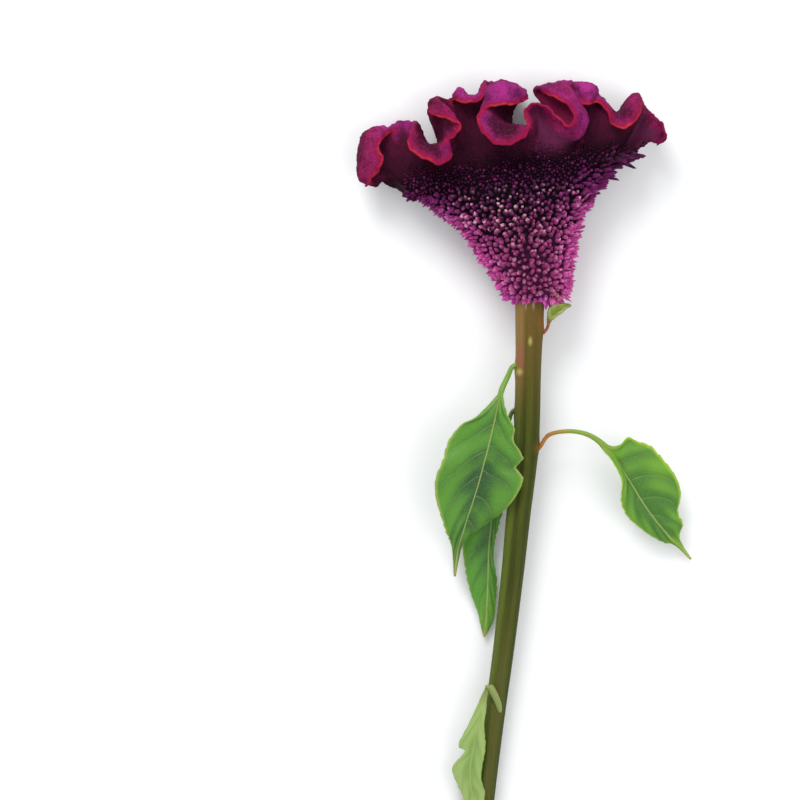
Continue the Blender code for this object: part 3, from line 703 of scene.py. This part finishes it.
COMB_ROWS = 56
COMB_ROOT_DEPTH = 8.0
COMB_EDGE_DEPTH = 0.5
CORD_RADIUS = 0.44
# The cord fades out towards the last lobe on the right.
CORD_FADE = (60, 61.6)
CORD_FADED = 0.45
CORD_SIDES = 12
# The cord swells and thins along its length: how far apart the swellings are, and how big.
CORD_BEADING = ((3.3, 0.1), (1.5, 0.07))
CORD_FINE_STEPS = 6
BLOOM_VOXEL = 0.56
# Wedge: left and right ends of each section, and half its depth, thinning out inside the comb.
WEDGE = [
    (-6.8, 1, 8.5, 0.3, 6.4),
    (-8.6, 3.8, 12, 1.5, 8),
    (-12.8, 10, 13.6, 8.5, 9.2),
    (-18, 17.5, 14.6, 16, 9.8),
    (-22.8, 24.5, 16, 23.5, 10.2),
    (-28.6, 29.8, 18.2, 31, 10.2),
    (-36, 35, 23.4, 40, 9.6),
    (-43, 39.4, 31.6, 50, 8.6),
    (-46.5, 43.6, 36.6, 56, 6.6),
    (-46.5, 47.5, 38.5, 61, 3),
]
WEDGE_STEPS = 4
WEDGE_SIDES = 64
# How open each point of the comb is, which its material turns into painted light and shade: rays, their
# reach, and rounds of calming.
OPEN_RAYS = 12
OPEN_REACH = 14.0
OPEN_CALMING = 6
# Stretches of the growing edge, in stations, that are crimson and not orange-red.
CRIMSON_RUNS = ((0, 1), (12.6, 14.4), (35.4, 39.4), (40.8, 43.4), (45.2, 47.6), (60, 65))
# Stretches whose lips are violet-magenta, where the others are wine-red.
VIOLET_RUNS = ((5, 9), (13.2, 14.8), (23, 36.5), (45, 47.4), (48.2, 56))
# Stretches whose lips take painted shade quickly away from the edge, because they line a hollow.
SHADED_HOLLOW_RUNS = ((9.4, 13.2), (14.6, 17.2), (33.8, 39.6), (55, 57.5))
# Stretches whose wall is a dull mauve.
MAUVE_RUNS = ((39.6, 45), (60.8, 65.5))
# Waves along the growing edge: how long, how high, and where they start.
RIPPLES = ((6.4, 0.34, 0), (3.1, 0.12, 1.3))
# Crinkles of the velvet: how far apart, and how high.
CRINKLES = ((1.2, 0.34), (0.6, 0.14))
# Where the fold that stands open near the right shoulder begins and ends. Its shaded back wall gets
# painted light.
OPEN_FOLD = ((42.5, 44.0), (50.5, 52.0))
PLUM_DARK = "#2f0a1c"
PLUM = "#6a1a3e"
WINE = "#4e0a2a"
WINE_LIGHT = "#8e1c54"
MAGENTA = "#520d3e"
MAGENTA_LIGHT = "#9a2876"
CRIMSON = "#86123c"
MAUVE = "#5e2244"
VELVET_SHEEN = "#c03080"
VELVET_SPECK = "#c8609e"
FOLD_PAINTED_LIGHT = "#94204e"
EDGE_RED = "#8c1236"
EDGE_ORANGE = "#c0383a"
CORE_SHADE = "#0e020a"
CORE_LOW_SHADE = "#43163a"


def seam(x):
    return SEAM_HEIGHT + SEAM_SLOPE * x


def comb_grid(steps, rows):
    """Points of the comb's middle surface: one line from root to growing edge at each step."""
    edge = np.array([station[0] for station in COMB_EDGE], float)
    crown = np.array([station[1] for station in COMB_EDGE], float)
    along = np.arange(len(edge))
    weight = np.exp(-(((along[:, None] - along) / COMB_SPREAD) ** 2))
    calm = weight @ crown / weight.sum(1, keepdims=True)
    travel = (calm[:, 0] - calm[0, 0]) / (calm[-1, 0] - calm[0, 0])
    root_x = SEAM_LEFT + (SEAM_RIGHT - SEAM_LEFT) * np.maximum.accumulate(travel)
    root = np.stack([root_x, seam(root_x) - COMB_SINK, 0 * root_x], 1)
    low = root + COMB_LOW * (calm + COMB_LOW_FOLD * (crown - calm) - root)
    high = root + COMB_HIGH * (calm + COMB_HIGH_FOLD * (crown - calm) - root)
    for i, station in enumerate(COMB_EDGE):
        if len(station) > 2:
            high[i] = station[2]
    reach = np.linalg.norm(edge - crown, axis=1)
    swell = reach[:, None] * np.array(COMB_SWELL)
    swell[:, 2] *= np.sign(edge[:, 2] - crown[:, 2])
    bend = (edge + crown) / 2 + swell
    runs = [path_through(run, steps) for run in (root, low, high, crown, bend, edge)]
    grid = np.zeros((len(runs[0]), rows, 3))
    for i, bones in enumerate(zip(*runs)):
        bones = path_through(bones, 8)
        walked = lengths_along(bones)
        wanted = np.linspace(0, walked[-1], rows)
        grid[i] = np.stack([np.interp(wanted, walked, bones[:, c]) for c in range(3)], 1)
    return grid


def apply_all(piece):
    pick(piece)
    for modifier in list(piece.modifiers):
        bpy.ops.object.modifier_apply(modifier=modifier.name)


def wedge_rings():
    rings = []
    turn = np.linspace(0, math.tau, WEDGE_SIDES + 1)
    for left_x, left_y, right_x, right_y, half_depth in path_through(WEDGE, WEDGE_STEPS):
        left = np.array((left_x, left_y, 0))
        right = np.array((right_x, right_y, 0))
        ring = (left + right) / 2 + np.cos(turn)[:, None] * (right - left) / 2
        ring[:, 2] += np.sign(np.sin(turn)) * np.abs(np.sin(turn)) ** 0.8 * half_depth
        rings.append(ring)
    return np.array(rings)


def cord_rings(edge):
    """Rings of the cord, each turned as little as can be from the one before."""
    turn = np.linspace(0, math.tau, CORD_SIDES + 1)[:, None]
    ahead = unit(np.gradient(edge, axis=0))
    walked = lengths_along(edge)
    beading = sum(size * np.sin(walked * math.tau / step) for step, size in CORD_BEADING)
    station = np.arange(len(edge)) / COMB_STEPS
    faded = np.clip((station - CORD_FADE[0]) / (CORD_FADE[1] - CORD_FADE[0]), 0, 1)
    radius = CORD_RADIUS * (1 + beading) * (1 - (1 - CORD_FADED) * faded)
    aside = np.cross(ahead[0], (0, 0, 1))
    rings = []
    for spot, way, wide in zip(edge, ahead, radius):
        aside = unit(aside - aside.dot(way) * way)
        rings.append(spot + wide * (np.cos(turn) * aside + np.sin(turn) * np.cross(way, aside)))
    return np.array(rings)


def openness(piece):
    """How free the air in front of each point is of the piece's own folds, from 0 to 1."""
    mesh = piece.data
    body = BVHTree.FromPolygons([v.co for v in mesh.vertices], [p.vertices for p in mesh.polygons])
    share = ((np.arange(OPEN_RAYS) + 0.5) / OPEN_RAYS)[:, None]
    turn = (np.arange(OPEN_RAYS) * math.pi * (3 - math.sqrt(5)))[:, None]
    fan = np.hstack([np.sqrt(share) * np.cos(turn), np.sqrt(share) * np.sin(turn), np.sqrt(1 - share)])
    fan = fan.tolist()
    free = np.zeros(len(mesh.vertices))
    for vertex in mesh.vertices:
        ahead = vertex.normal
        aside = ahead.orthogonal().normalized()
        third = ahead.cross(aside)
        start = vertex.co + ahead * BLOOM_VOXEL * MM
        for a, b, c in fan:
            if body.ray_cast(start, aside * a + third * b + ahead * c, OPEN_REACH * MM)[0] is None:
                free[vertex.index] += 1 / OPEN_RAYS
    ends = np.empty(2 * len(mesh.edges), int)
    mesh.edges.foreach_get("vertices", ends)
    one, two = ends.reshape(-1, 2).T
    count = np.bincount(ends, minlength=len(free)) + 1
    for _ in range(OPEN_CALMING):
        around = np.bincount(one, free[two], len(free)) + np.bincount(two, free[one], len(free))
        free = (free + around) / count
    return free


def joined(piece, other):
    pick(piece, other)
    bpy.ops.object.join()


def within(station, runs):
    """How far inside the nearest run a station is, in stations; less than nothing outside."""
    return max(min(station - first, last - station) for first, last in runs)


def crinkle(piece):
    """Roughens a skin with small even bumps."""
    flat = read_all(piece.data.vertices, "co")
    out = read_all(piece.data.vertices, "normal")
    spots = [Vector(spot) / MM for spot in flat]
    lift = [sum(size * noise.noise(spot / step) for step, size in CRINKLES) for spot in spots]
    piece.data.vertices.foreach_set("co", (flat + MM * np.array(lift)[:, None] * out).ravel())


def tree_of(points):
    """A tree that finds the nearest of these points."""
    tree = kdtree.KDTree(len(points))
    for i, spot in enumerate(points):
        tree.insert(spot, i)
    tree.balance()
    return tree


def cut_to_floor():
    bpy.ops.mesh.bisect(
        plane_co=(0, 0, 0), plane_no=(0, 0, 1), use_fill=True, clear_inner=True, threshold=1e-6
    )


def crimped(sheet):
    """The sheet with the small crimps that the growing edge and the crowns carry."""
    out = unit(np.cross(np.gradient(sheet, axis=0), np.gradient(sheet, axis=1)))
    walked = lengths_along(sheet[:, -1])[:, None]
    rise = np.linspace(0, 1, sheet.shape[1])
    lift = sum(
        size * np.sin(walked / length * math.tau + turn + 5 * rise + np.sin(walked / (3 * length)))
        for length, size, turn in RIPPLES
    )
    return sheet + out * (lift * rise**3)[..., None]


sheet = crimped(comb_grid(COMB_STEPS, COMB_ROWS))
comb = laid_grid("comb_velvet", sheet)
taper = comb.vertex_groups.new(name="taper")
rise = np.linspace(0, 1, COMB_ROWS)
depth = COMB_EDGE_DEPTH + (COMB_ROOT_DEPTH - COMB_EDGE_DEPTH) * (1 - rise) ** 2
tree = tree_of(sheet.reshape(-1, 3))
for i, spot in enumerate((read_all(comb.data.vertices, "co") - ORIGIN) / MM):
    found = tree.find(spot)[1]
    taper.add([i], depth[found % COMB_ROWS] / COMB_ROOT_DEPTH, "REPLACE")
wall = comb.modifiers.new("thickness", "SOLIDIFY")
wall.thickness = 2 * COMB_ROOT_DEPTH * MM
wall.offset = 0
wall.vertex_group = "taper"
apply_all(comb)
wedge = laid_grid("wedge", wedge_rings())
cord = laid_grid("cord", cord_rings(sheet[:, -1]))
for part in (wedge, cord):
    edit(part, close_seam, close_ends, face_out)
joined(comb, wedge)
fuse = comb.modifiers.new("fused folds", "REMESH")
fuse.mode = "VOXEL"
fuse.voxel_size = BLOOM_VOXEL * MM
soft = comb.modifiers.new("soft", "SMOOTH")
soft.iterations = 2
apply_all(comb)
crinkle(comb)
joined(comb, cord)
edit(comb, cut_to_floor)

rim_tree = tree_of(path_through(sheet[:, -1], CORD_FINE_STEPS))
# The velvet notes hold how open each point is, which becomes painted light and shade, how far it is from
# the edge cord, and how far up the blade it lies.
velvet, course, hue = [], [], []
for open_air, spot in zip(openness(comb), (read_all(comb.data.vertices, "co") - ORIGIN) / MM):
    found = tree.find(spot)[1]
    edge_found, edge_away = rim_tree.find(spot)[1:]
    crimson = within(edge_found / (COMB_STEPS * CORD_FINE_STEPS), CRIMSON_RUNS)
    station = found // COMB_ROWS / COMB_STEPS
    velvet.append((open_air, edge_away, rise[found % COMB_ROWS]))
    course.append((crimson, seam(spot[0]) - spot[1], station))
    hue.append([within(station, runs) for runs in (VIOLET_RUNS, SHADED_HOLLOW_RUNS, MAUVE_RUNS)])
note(comb, "velvet", velvet)
note(comb, "course", course)
note(comb, "hue", hue)

sheen = {"Sheen_Weight": 0.12, "Sheen_Roughness": 0.4, "Sheen_Tint": ink(VELVET_SHEEN)}
comb_look, place = new_finish("comb", Specular_IOR_Level=0.06, **sheen)
# free: how open each point is, for painted light on open lips and painted shade in closed folds.
free, rim, climb = noted(place, "velvet").parts()
crimson, below_seam, station = noted(place, "course").parts()
violet, hollow, mauve = noted(place, "hue").parts()
pile = place.noise(1150, 3)
mottle = place.noise(210, 3)
drift = place.noise(70, 2)
ribbon = place.add("ShaderNodeCombineXYZ", None, {0: station * 2.2, 1: climb * 3.0})
streak = ribbon.noise(1.6, 3)
wall = (climb * 0.7 + mottle * 0.35 + streak * 0.35 - 0.3).ease(0.15, 0.95).blend(PLUM_DARK, PLUM)
dull = mauve.ease(-0.6, 0.6)
wall = wall.coats(
    # High on the wall where it is open it turns wine, following the painted light of the open lips.
    (free.ease(0.75, 1) * climb.ease(0.6, 0.85) * 0.8, WINE),
    (dull * climb.ease(0.15, 0.6) * (0.5 + 0.6 * mottle), MAUVE),
)
shade = (mottle * 0.9 + pile * 0.7 + streak * 0.5 + drift * 0.8 - 0.95).ease(0.1, 0.85)
speck = place.noise(1500, 1).ease(0.58, 0.72)
lip = shade.blend(WINE, WINE_LIGHT).coats(
    ((violet + drift * 3.0 - 1.5).ease(-1, 1), shade.blend(MAGENTA, MAGENTA_LIGHT)),
    # Painted shade on lips that line a hollow.
    (hollow.ease(-0.6, 0.6) * rim.ease(0.8, 5) * 0.85, PLUM_DARK),
    # Painted shade where folds close in over the lips.
    (1 - free.ease(0.45, 0.92), WINE),
    (speck * (0.08 + 0.14 * shade), VELVET_SPECK),
)
# Painted light on the shaded back wall of the open fold, where it is closed in.
fold = station.ease(*OPEN_FOLD[0]) - station.ease(*OPEN_FOLD[1])
fold = fold * (1 - free.ease(0.3, 0.75)) * climb.ease(0.25, 0.5)
end = station.ease(*CORD_FADE)
plain = mauve.ease(0, 0.6) * 0.4 + end * 0.5
tint = (mottle * 1.3 + drift * 0.8).ease(0.85, 1.5).blend(EDGE_RED, EDGE_ORANGE)
colour = wall.coats(
    # Lips show their own wine or magenta only where they are open, as painted light; closed folds keep
    # the dark wall as painted shade.
    (climb.ease(0.64, 0.82) * free.ease(0.3, 0.72), lip),
    (fold * (1 - below_seam.ease(-14, -10)) * 0.8, FOLD_PAINTED_LIGHT),
    # Painted shade on the wedge core between the florets: near black below the beads' line, less at the
    # right end where no florets grow, and a lighter wine lower down.
    (below_seam.ease(-9, 0) * (1 - 0.8 * end), CORE_SHADE),
    (below_seam.ease(18, 45), CORE_LOW_SHADE),
    ((1 - (rim + drift * 1.6).ease(1.2, 3.4)) * (0.75 - 0.7 * plain), CRIMSON),
    ((1 - rim.ease(0.48, 0.8)) * (1 - plain), (crimson.ease(-0.5, 0.5) * 0.85).blend(tint, CRIMSON)),
)
dress(comb_look, colour, 0.7 + 0.15 * mottle, pile + mottle * 0.8, 0.0003)
settle(comb, comb_look)
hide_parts("comb")


# Florets. Small dry flowers and buds, each grown from the fleshy wedge below the comb: tiny dark buds
# at the comb's foot, pink-tipped ones over the middle, and open pointed ones lower down and at the sides.

FLORET_SEED = 11
# Where florets may grow: the wedge between these sides, up to the beads' line, and not on the lips.
FLORETS_LEFT = -47.0
FLORETS_RIGHT = 42.0
LIP_DEPTH = 12.5
BEAD_REACH = 9.5
BEAD_TOP = 58.0
BEAD_WAVES = ((1.0, 0.45), (0.6, 1.1))
BEAD_DEPTH = 14.0
# How far below the beads' line the florets are ripe.
RIPE_DEPTH = 45.0
SPIKE_SHARE = 0.6
SPACING_LEAST = 0.86
SPACING_GROWTH = 0.026
SPACING_MOST = 1.5
FLANK_GROWTH = 0.5
FLORET_ROUGHNESS = 0.07
FLORET_LEAN = 0.5
FLORET_DROOP = 7.0
FLORET_STRAY = 0.26
# How deep a floret stands in the wedge, as a share of its length.
FLORET_SUNK = 0.25
PETALS = 5
SEED_CASE_POINTS = 12
# Buds, open florets and spikes: roughness, where the tip turns pale, how pale it is, and how dark the
# painted shade in the creases between scales is.
FLORET_FINISHES = ((0.5, 0.6, 0.95, 0.6), (0.55, 0.55, 0.45, 0.0), (0.55, 0.5, 0.8, 0.4))
SHADE = "#0c0108"
SHADE_LOW = "#44163a"
BEAD_DARK = "#1c0418"
BEAD_LIGHT = "#702058"
BEAD_FAINT = "#34101f"
BUD_DARK = "#2e0628"
BUD_RIPE = "#7c2c54"
BUD_MAGENTA = "#d24ea4"
BUD_VIOLET = "#8c2272"
TIP_PINK = "#a86c84"
TIP_ROSE = "#d8a4b0"
TIP_MAGENTA = "#e088c4"
TUFT_PINK = "#d04ab0"
TUFT_SALMON = "#c47a84"
# Brighter tufts where the lowest florets hang over the stem: place, reach and which colour.
TUFTS = ((-6.6, 1.4, 2.4, 1), (9.4, 2.4, 3.2, -0.7), (4, 0.6, 2, 1))
# The right shoulder, where the florets are long and lie over towards the side.
SHOULDER_BEGINS = 14.0
SHOULDER_ENDS = 32.0
SHOULDER_STRETCH = 1.0
SHOULDER_SPACING = 0.5
SHOULDER_WAY = (0.9, 0.45)


def face_spots(piece, kept):
    """Middle and normal of each face that passes the test, in the flower's millimetres."""
    middle = (read_all(piece.data.polygons, "center") - ORIGIN) / MM
    normal = read_all(piece.data.polygons, "normal")
    wanted = kept(middle, normal)
    return middle[wanted], normal[wanted]


def bead_line(x):
    """How high the florets reach, which wavers a little from side to side."""
    top = np.minimum(seam(x) + BEAD_REACH, BEAD_TOP)
    return top + sum(high * np.sin(x * close) for high, close in BEAD_WAVES)


def carries_florets(middle, normal):
    x, y, z = middle.T
    not_lip = (x > FLORETS_LEFT) & (x < FLORETS_RIGHT) & (np.abs(z) < LIP_DEPTH)
    return (y < bead_line(x)) & not_lip & (normal[:, 1] > -0.97) & (normal[:, 1] < 0.6)


spot, facing = face_spots(comb, carries_florets)
below = bead_line(spot[:, 0]) - spot[:, 1]
shoulder = np.clip((spot[:, 0] - SHOULDER_BEGINS) / (SHOULDER_ENDS - SHOULDER_BEGINS), 0, 1)
spacing = SPACING_LEAST + SPACING_GROWTH * np.maximum(below, 0) + SHOULDER_SPACING * shoulder
spacing = np.minimum(spacing, SPACING_MOST)


def spread_out(spot, gap):
    """Picks spots in a shuffled order, none nearer to another than the gap that both ask for."""
    cell = gap.max()
    homes = np.floor(spot / cell).astype(int)
    around = [(i, j, k) for i in (-1, 0, 1) for j in (-1, 0, 1) for k in (-1, 0, 1)]
    held, kept = {}, []
    for i in np.random.default_rng(FLORET_SEED).permutation(len(spot)):
        x, y, z = homes[i]
        near = [m for a, b, c in around for m in held.get((x + a, y + b, z + c), ())]
        apart = ((spot[near] - spot[i]) ** 2).sum(1)
        if (apart > ((gap[near] + gap[i]) / 2) ** 2).all():
            held.setdefault((x, y, z), []).append(i)
            kept.append(i)
    return np.array(kept)


chosen = spread_out(spot, spacing)
spot, facing, below = spot[chosen], facing[chosen], below[chosen]
spacing, shoulder = spacing[chosen], shoulder[chosen]
table = np.array(WEDGE)
left_x = np.interp(spot[:, 1], table[:, 1], table[:, 0])
right_x = np.interp(spot[:, 1], table[:, 3], table[:, 2])
aside = np.abs(2 * spot[:, 0] - left_x - right_x) / (right_x - left_x)
sideways = np.clip(1.25 - 1.6 * np.abs(facing[:, 2]), 0, 1)
flank = np.clip(np.maximum(sideways, aside**3), 0, 1)
tuft = sum(
    side * np.exp(-((spot[:, 0] - x) ** 2 + (spot[:, 1] - y) ** 2) / reach**2)
    for x, y, reach, side in TUFTS
)


def shaped(segments, rings, rule):
    """A ball one unit wide, whose points a rule moves by x, y and how far up they lie."""
    pick()
    bpy.ops.mesh.primitive_uv_sphere_add(segments=segments, ring_count=rings, radius=0.5)
    ball = bpy.context.object
    reshape(ball.data.vertices, rule)
    return ball


def reshape(vertices, rule):
    for vertex in vertices:
        x, y, z = vertex.co
        vertex.co = rule(x, y, z + 0.5)


def bead(x, y, rise):
    """A plain rounded drop."""
    return x, y, rise


def bud(x, y, rise):
    """Five pointed scales that close over a bud."""
    scale = (1 + 0.34 * math.cos(5 * math.atan2(y, x)) * rise) * (1.15 - 0.55 * rise)
    return x * scale, y * scale, rise


def spike(x, y, rise):
    """Scales that close to a sharp tip."""
    return x * (1.5 - 1.2 * rise), y * (1.5 - 1.2 * rise), rise


def petal(x, y, rise):
    """A narrow petal that leans outwards."""
    narrow = 1.15 - 0.5 * rise
    return x * 0.84 * narrow, y * 0.36 * narrow + 0.14 + 0.3 * rise**1.6, rise


def seed_case(x, y, rise):
    return x * 0.42, y * 0.42, rise * 0.9


def ring_of_petals():
    bpy.ops.mesh.spin(steps=PETALS, dupli=True, angle=math.tau, center=(0, 0, 0), axis=(0, 0, 1))


def add_seed_case():
    bpy.ops.mesh.primitive_uv_sphere_add(segments=5, ring_count=3, radius=0.5)


def drawn_open_floret():
    """Five pointed petals round the point of the seed case."""
    floret = shaped(4, 3, petal)
    edit(floret, ring_of_petals, close_seam)
    edit(floret, add_seed_case)
    reshape(floret.data.vertices[-SEED_CASE_POINTS:], seed_case)
    return floret


def taken(piece):
    """The points and faces of a drawn shape, which is then put away."""
    points = np.array([v.co for v in piece.data.vertices])
    faces = [list(p.vertices) for p in piece.data.polygons]
    bpy.data.objects.remove(piece)
    return points, faces


def placed(name, data):
    """A new object in the scene that holds this mesh, lamp or camera."""
    holder = bpy.data.objects.new(name, data)
    bpy.context.scene.collection.objects.link(holder)
    return holder


def planted(name, shape, members, width, length, chance):
    """One mesh with a copy of the shape at each chosen spot, each leaning and turned its own way."""
    points, faces = shape
    count, block = len(members), len(points)
    lean = facing[members] + chance.normal(0, FLORET_STRAY, (count, 3))
    fan = unit(spot[members, :2] - (0, FLORET_DROOP), FLORET_DROOP)
    lean[:, :2] += FLORET_LEAN * fan + shoulder[members, None] * SHOULDER_WAY
    lean = unit(lean)
    aside = unit(np.cross(lean, chance.normal(0, 1, (count, 3))))
    third = np.cross(lean, aside)
    size = chance.uniform(0.78, 1.2, (count, 1))
    wide, tall = width[members, None] * size, length[members, None] * size
    narrow = wide * chance.uniform(0.7, 1.05, (count, 1))
    tall = tall * (1 + SHOULDER_STRETCH * shoulder[members, None])
    tall *= 1 + flank[members, None] * chance.uniform(-0.35, 0.65, (count, 1))
    axes = np.stack([aside * wide, third * narrow, lean * tall], 1)
    body = (spot[members] - facing[members] * FLORET_SUNK * tall)[:, None] + points @ axes
    body += chance.normal(0, FLORET_ROUGHNESS, body.shape) * wide[:, None]
    mesh = bpy.data.meshes.new(name)
    every = [[v + k * block for v in face] for k in range(count) for face in faces]
    mesh.from_pydata((ORIGIN + MM * above_floor(body)).reshape(-1, 3), [], every)
    piece = placed(name, mesh)
    luck = chance.uniform(0, 1, (count, 1))
    floret = np.broadcast_arrays(points[:, 2], ripe[members, None], luck)
    side = (flank * (1 - 0.6 * shoulder))[members, None]
    # Where the creases between scales lie, for their painted shade.
    crease_shade = 0.5 - 0.5 * np.cos(5 * np.arctan2(points[:, 1], points[:, 0]))
    stand = np.broadcast_arrays(side, tuft[members, None], crease_shade)
    note(piece, "floret", np.stack(floret, 2))
    note(piece, "stand", np.stack(stand, 2))
    return piece


def bead_finish():
    look, place = new_finish("beads", Specular_IOR_Level=0.06)
    tip, ripe, luck = noted(place, "floret").parts()
    flank = noted(place, "stand").parts()[0]
    bright = luck**4.0 * 0.8 + flank * 0.3 + ripe
    colour = bright.ease(0, 1.2).blend(BEAD_DARK, BEAD_LIGHT).coats(
        # Painted shade at the foot of each bead.
        (1 - tip.ease(0.1, 0.8), SHADE),
        ((1 - ripe.ease(0, 0.14)) * 0.8, BEAD_FAINT),
    )
    dress(look, colour, 0.55 + 0.2 * luck, tip, 0.0001)
    return look


def floret_finish(name, roughness, pale_from, pale_most, crease_shade_depth):
    look, place = new_finish(name, Sheen_Weight=0.08, Sheen_Roughness=0.4, Specular_IOR_Level=0.12)
    tip, ripe, luck = noted(place, "floret").parts()
    flank, tuft, crease_shade = noted(place, "stand").parts()
    cloud = place.noise(900, 2)
    body = (ripe + luck * 0.25).ease(0.5, 1.15).blend(BUD_DARK, BUD_RIPE)
    outer = ripe.ease(0.3, 0.7).blend(BUD_VIOLET, BUD_MAGENTA)
    body = (flank * ripe.ease(0.02, 0.35) * (0.6 + 0.5 * luck)).blend(body, outer)
    point = (luck - ripe.ease(0.7, 1) * 0.3).ease(0.5, 1).blend(TIP_PINK, TIP_ROSE)
    point = (flank * 0.85).blend(point, TIP_MAGENTA)
    often = ripe * 0.2 + luck * 0.9
    fleck = place.noise(2600, 1)
    pale = (tip + fleck * 0.5 - 0.25).ease(pale_from, 1)
    pale = pale * ripe.ease(0.3, 0.48) * often.ease(0.45, 0.85)
    colour = body.coats(
        (tip.ease(0.6, 1) * 0.35, outer),
        (pale * pale_most, point),
        (tuft.ease(0.2, 0.9) * 0.8, TUFT_PINK),
        ((0 - tuft).ease(0.2, 0.9) * 0.8, TUFT_SALMON),
        # Painted shade in the creases between a bud's scales.
        (crease_shade.ease(0.35, 1) * (1 - tip.ease(0.9, 1)) * crease_shade_depth, BUD_DARK),
    )
    # Painted shade at the foot of each floret, lighter lower down and at the flanks.
    foot_shade = (ripe + flank * 0.5).ease(0.45, 1).blend(SHADE, SHADE_LOW)
    foot_shade = (flank.ease(0.4, 0.9) * ripe.ease(0.25, 0.6)).blend(foot_shade, BUD_VIOLET)
    colour = tip.ease(0.05, 0.6).blend(foot_shade, colour)
    dress(look, colour, roughness + 0.2 * cloud, cloud, 0.00015)
    return look


chance = np.random.default_rng(FLORET_SEED)
luck = chance.uniform(0, 1, len(spot))
ripe = np.clip(below / RIPE_DEPTH, 0, 1)
opened = (flank > 0.4 + 0.4 * luck) & (below > BEAD_DEPTH)
tiny = ~opened & (below < BEAD_DEPTH * (1 - 0.7 * shoulder))
whole = np.flatnonzero(~opened & ~tiny)
bead_size = spacing * (0.65 + 0.5 * np.clip(below / 6, 0, 1))
beads = planted("beads", taken(shaped(5, 4, bead)), np.flatnonzero(tiny), bead_size, bead_size, chance)
swollen = spacing * (1.25 + 0.3 * ripe)
buds = planted("buds", taken(shaped(10, 4, bud)), whole, swollen, spacing * 1.4 + 0.6, chance)
spiky = opened & (chance.uniform(0, 1, len(spot)) < SPIKE_SHARE)
grown = spacing * (1 + FLANK_GROWTH * flank)
spiky_ones = np.flatnonzero(spiky), spacing * 1.2, grown * 1.35 + 0.6 * ripe
spikes = planted("spikes", taken(shaped(6, 4, spike)), *spiky_ones, chance)
open_ones = np.flatnonzero(opened & ~spiky), spacing * 1.3 + 0.4, grown + 0.6 * ripe
open_florets = planted("open_florets", taken(drawn_open_floret()), *open_ones, chance)
settle(beads, bead_finish())
for piece, values in zip((buds, open_florets, spikes), FLORET_FINISHES):
    settle(piece, floret_finish(piece.name, *values), smooth=False)
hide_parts("florets")


# Floor, light and camera. A plain pale floor under soft studio light, seen from straight above with a
# long lens, so that the flower lies in the frame as it stands in the photo.

PHOTO_WIDTH = 300.0
PHOTO_MIDDLE = (-48.75, -37.5)
CAMERA_HEIGHT = 3.0
SENSOR = 36.0

pick()
bpy.ops.mesh.primitive_plane_add(size=6.0, location=(0, 0, -0.0002))
floor = bpy.context.object
floor.name = "floor"
floor_look, place = new_finish("floor")
haze = place.noise(3, 2)
dress(floor_look, haze.blend("#f2f2f2", "#f6f6f5"), 0.6 + 0.1 * haze, haze, 0.0001)
floor.data.materials.append(floor_look)


def soft_light(name, place, width, energy):
    lamp = bpy.data.lights.new(name, "AREA")
    lamp.shape = "DISK"
    lamp.size = width
    lamp.energy = energy
    holder = placed(name, lamp)
    holder.location = place
    holder.rotation_euler = (-Vector(place)).to_track_quat("-Z", "Y").to_euler()


soft_light("key light", (-0.35, 0.95, 0.85), 0.7, 9.0)
soft_light("fill light", (0.8, -0.2, 1.0), 1.0, 3.5)
world = bpy.data.worlds.new("studio")
bpy.context.scene.world = world
world.use_nodes = True
world.node_tree.nodes["Background"].inputs[0].default_value = (0.95, 0.97, 1.0, 1.0)
world.node_tree.nodes["Background"].inputs[1].default_value = 0.88
bpy.context.scene.view_settings.view_transform = "Standard"

camera = bpy.data.cameras.new("camera")
camera.sensor_width = SENSOR
camera.lens = SENSOR * (CAMERA_HEIGHT + FLOOR * MM) / (PHOTO_WIDTH * MM)
viewer = placed("camera", camera)
aim = ORIGIN + MM * np.array((*PHOTO_MIDDLE, 0.0))
viewer.location = (aim[0], aim[1], CAMERA_HEIGHT)
bpy.context.scene.camera = viewer
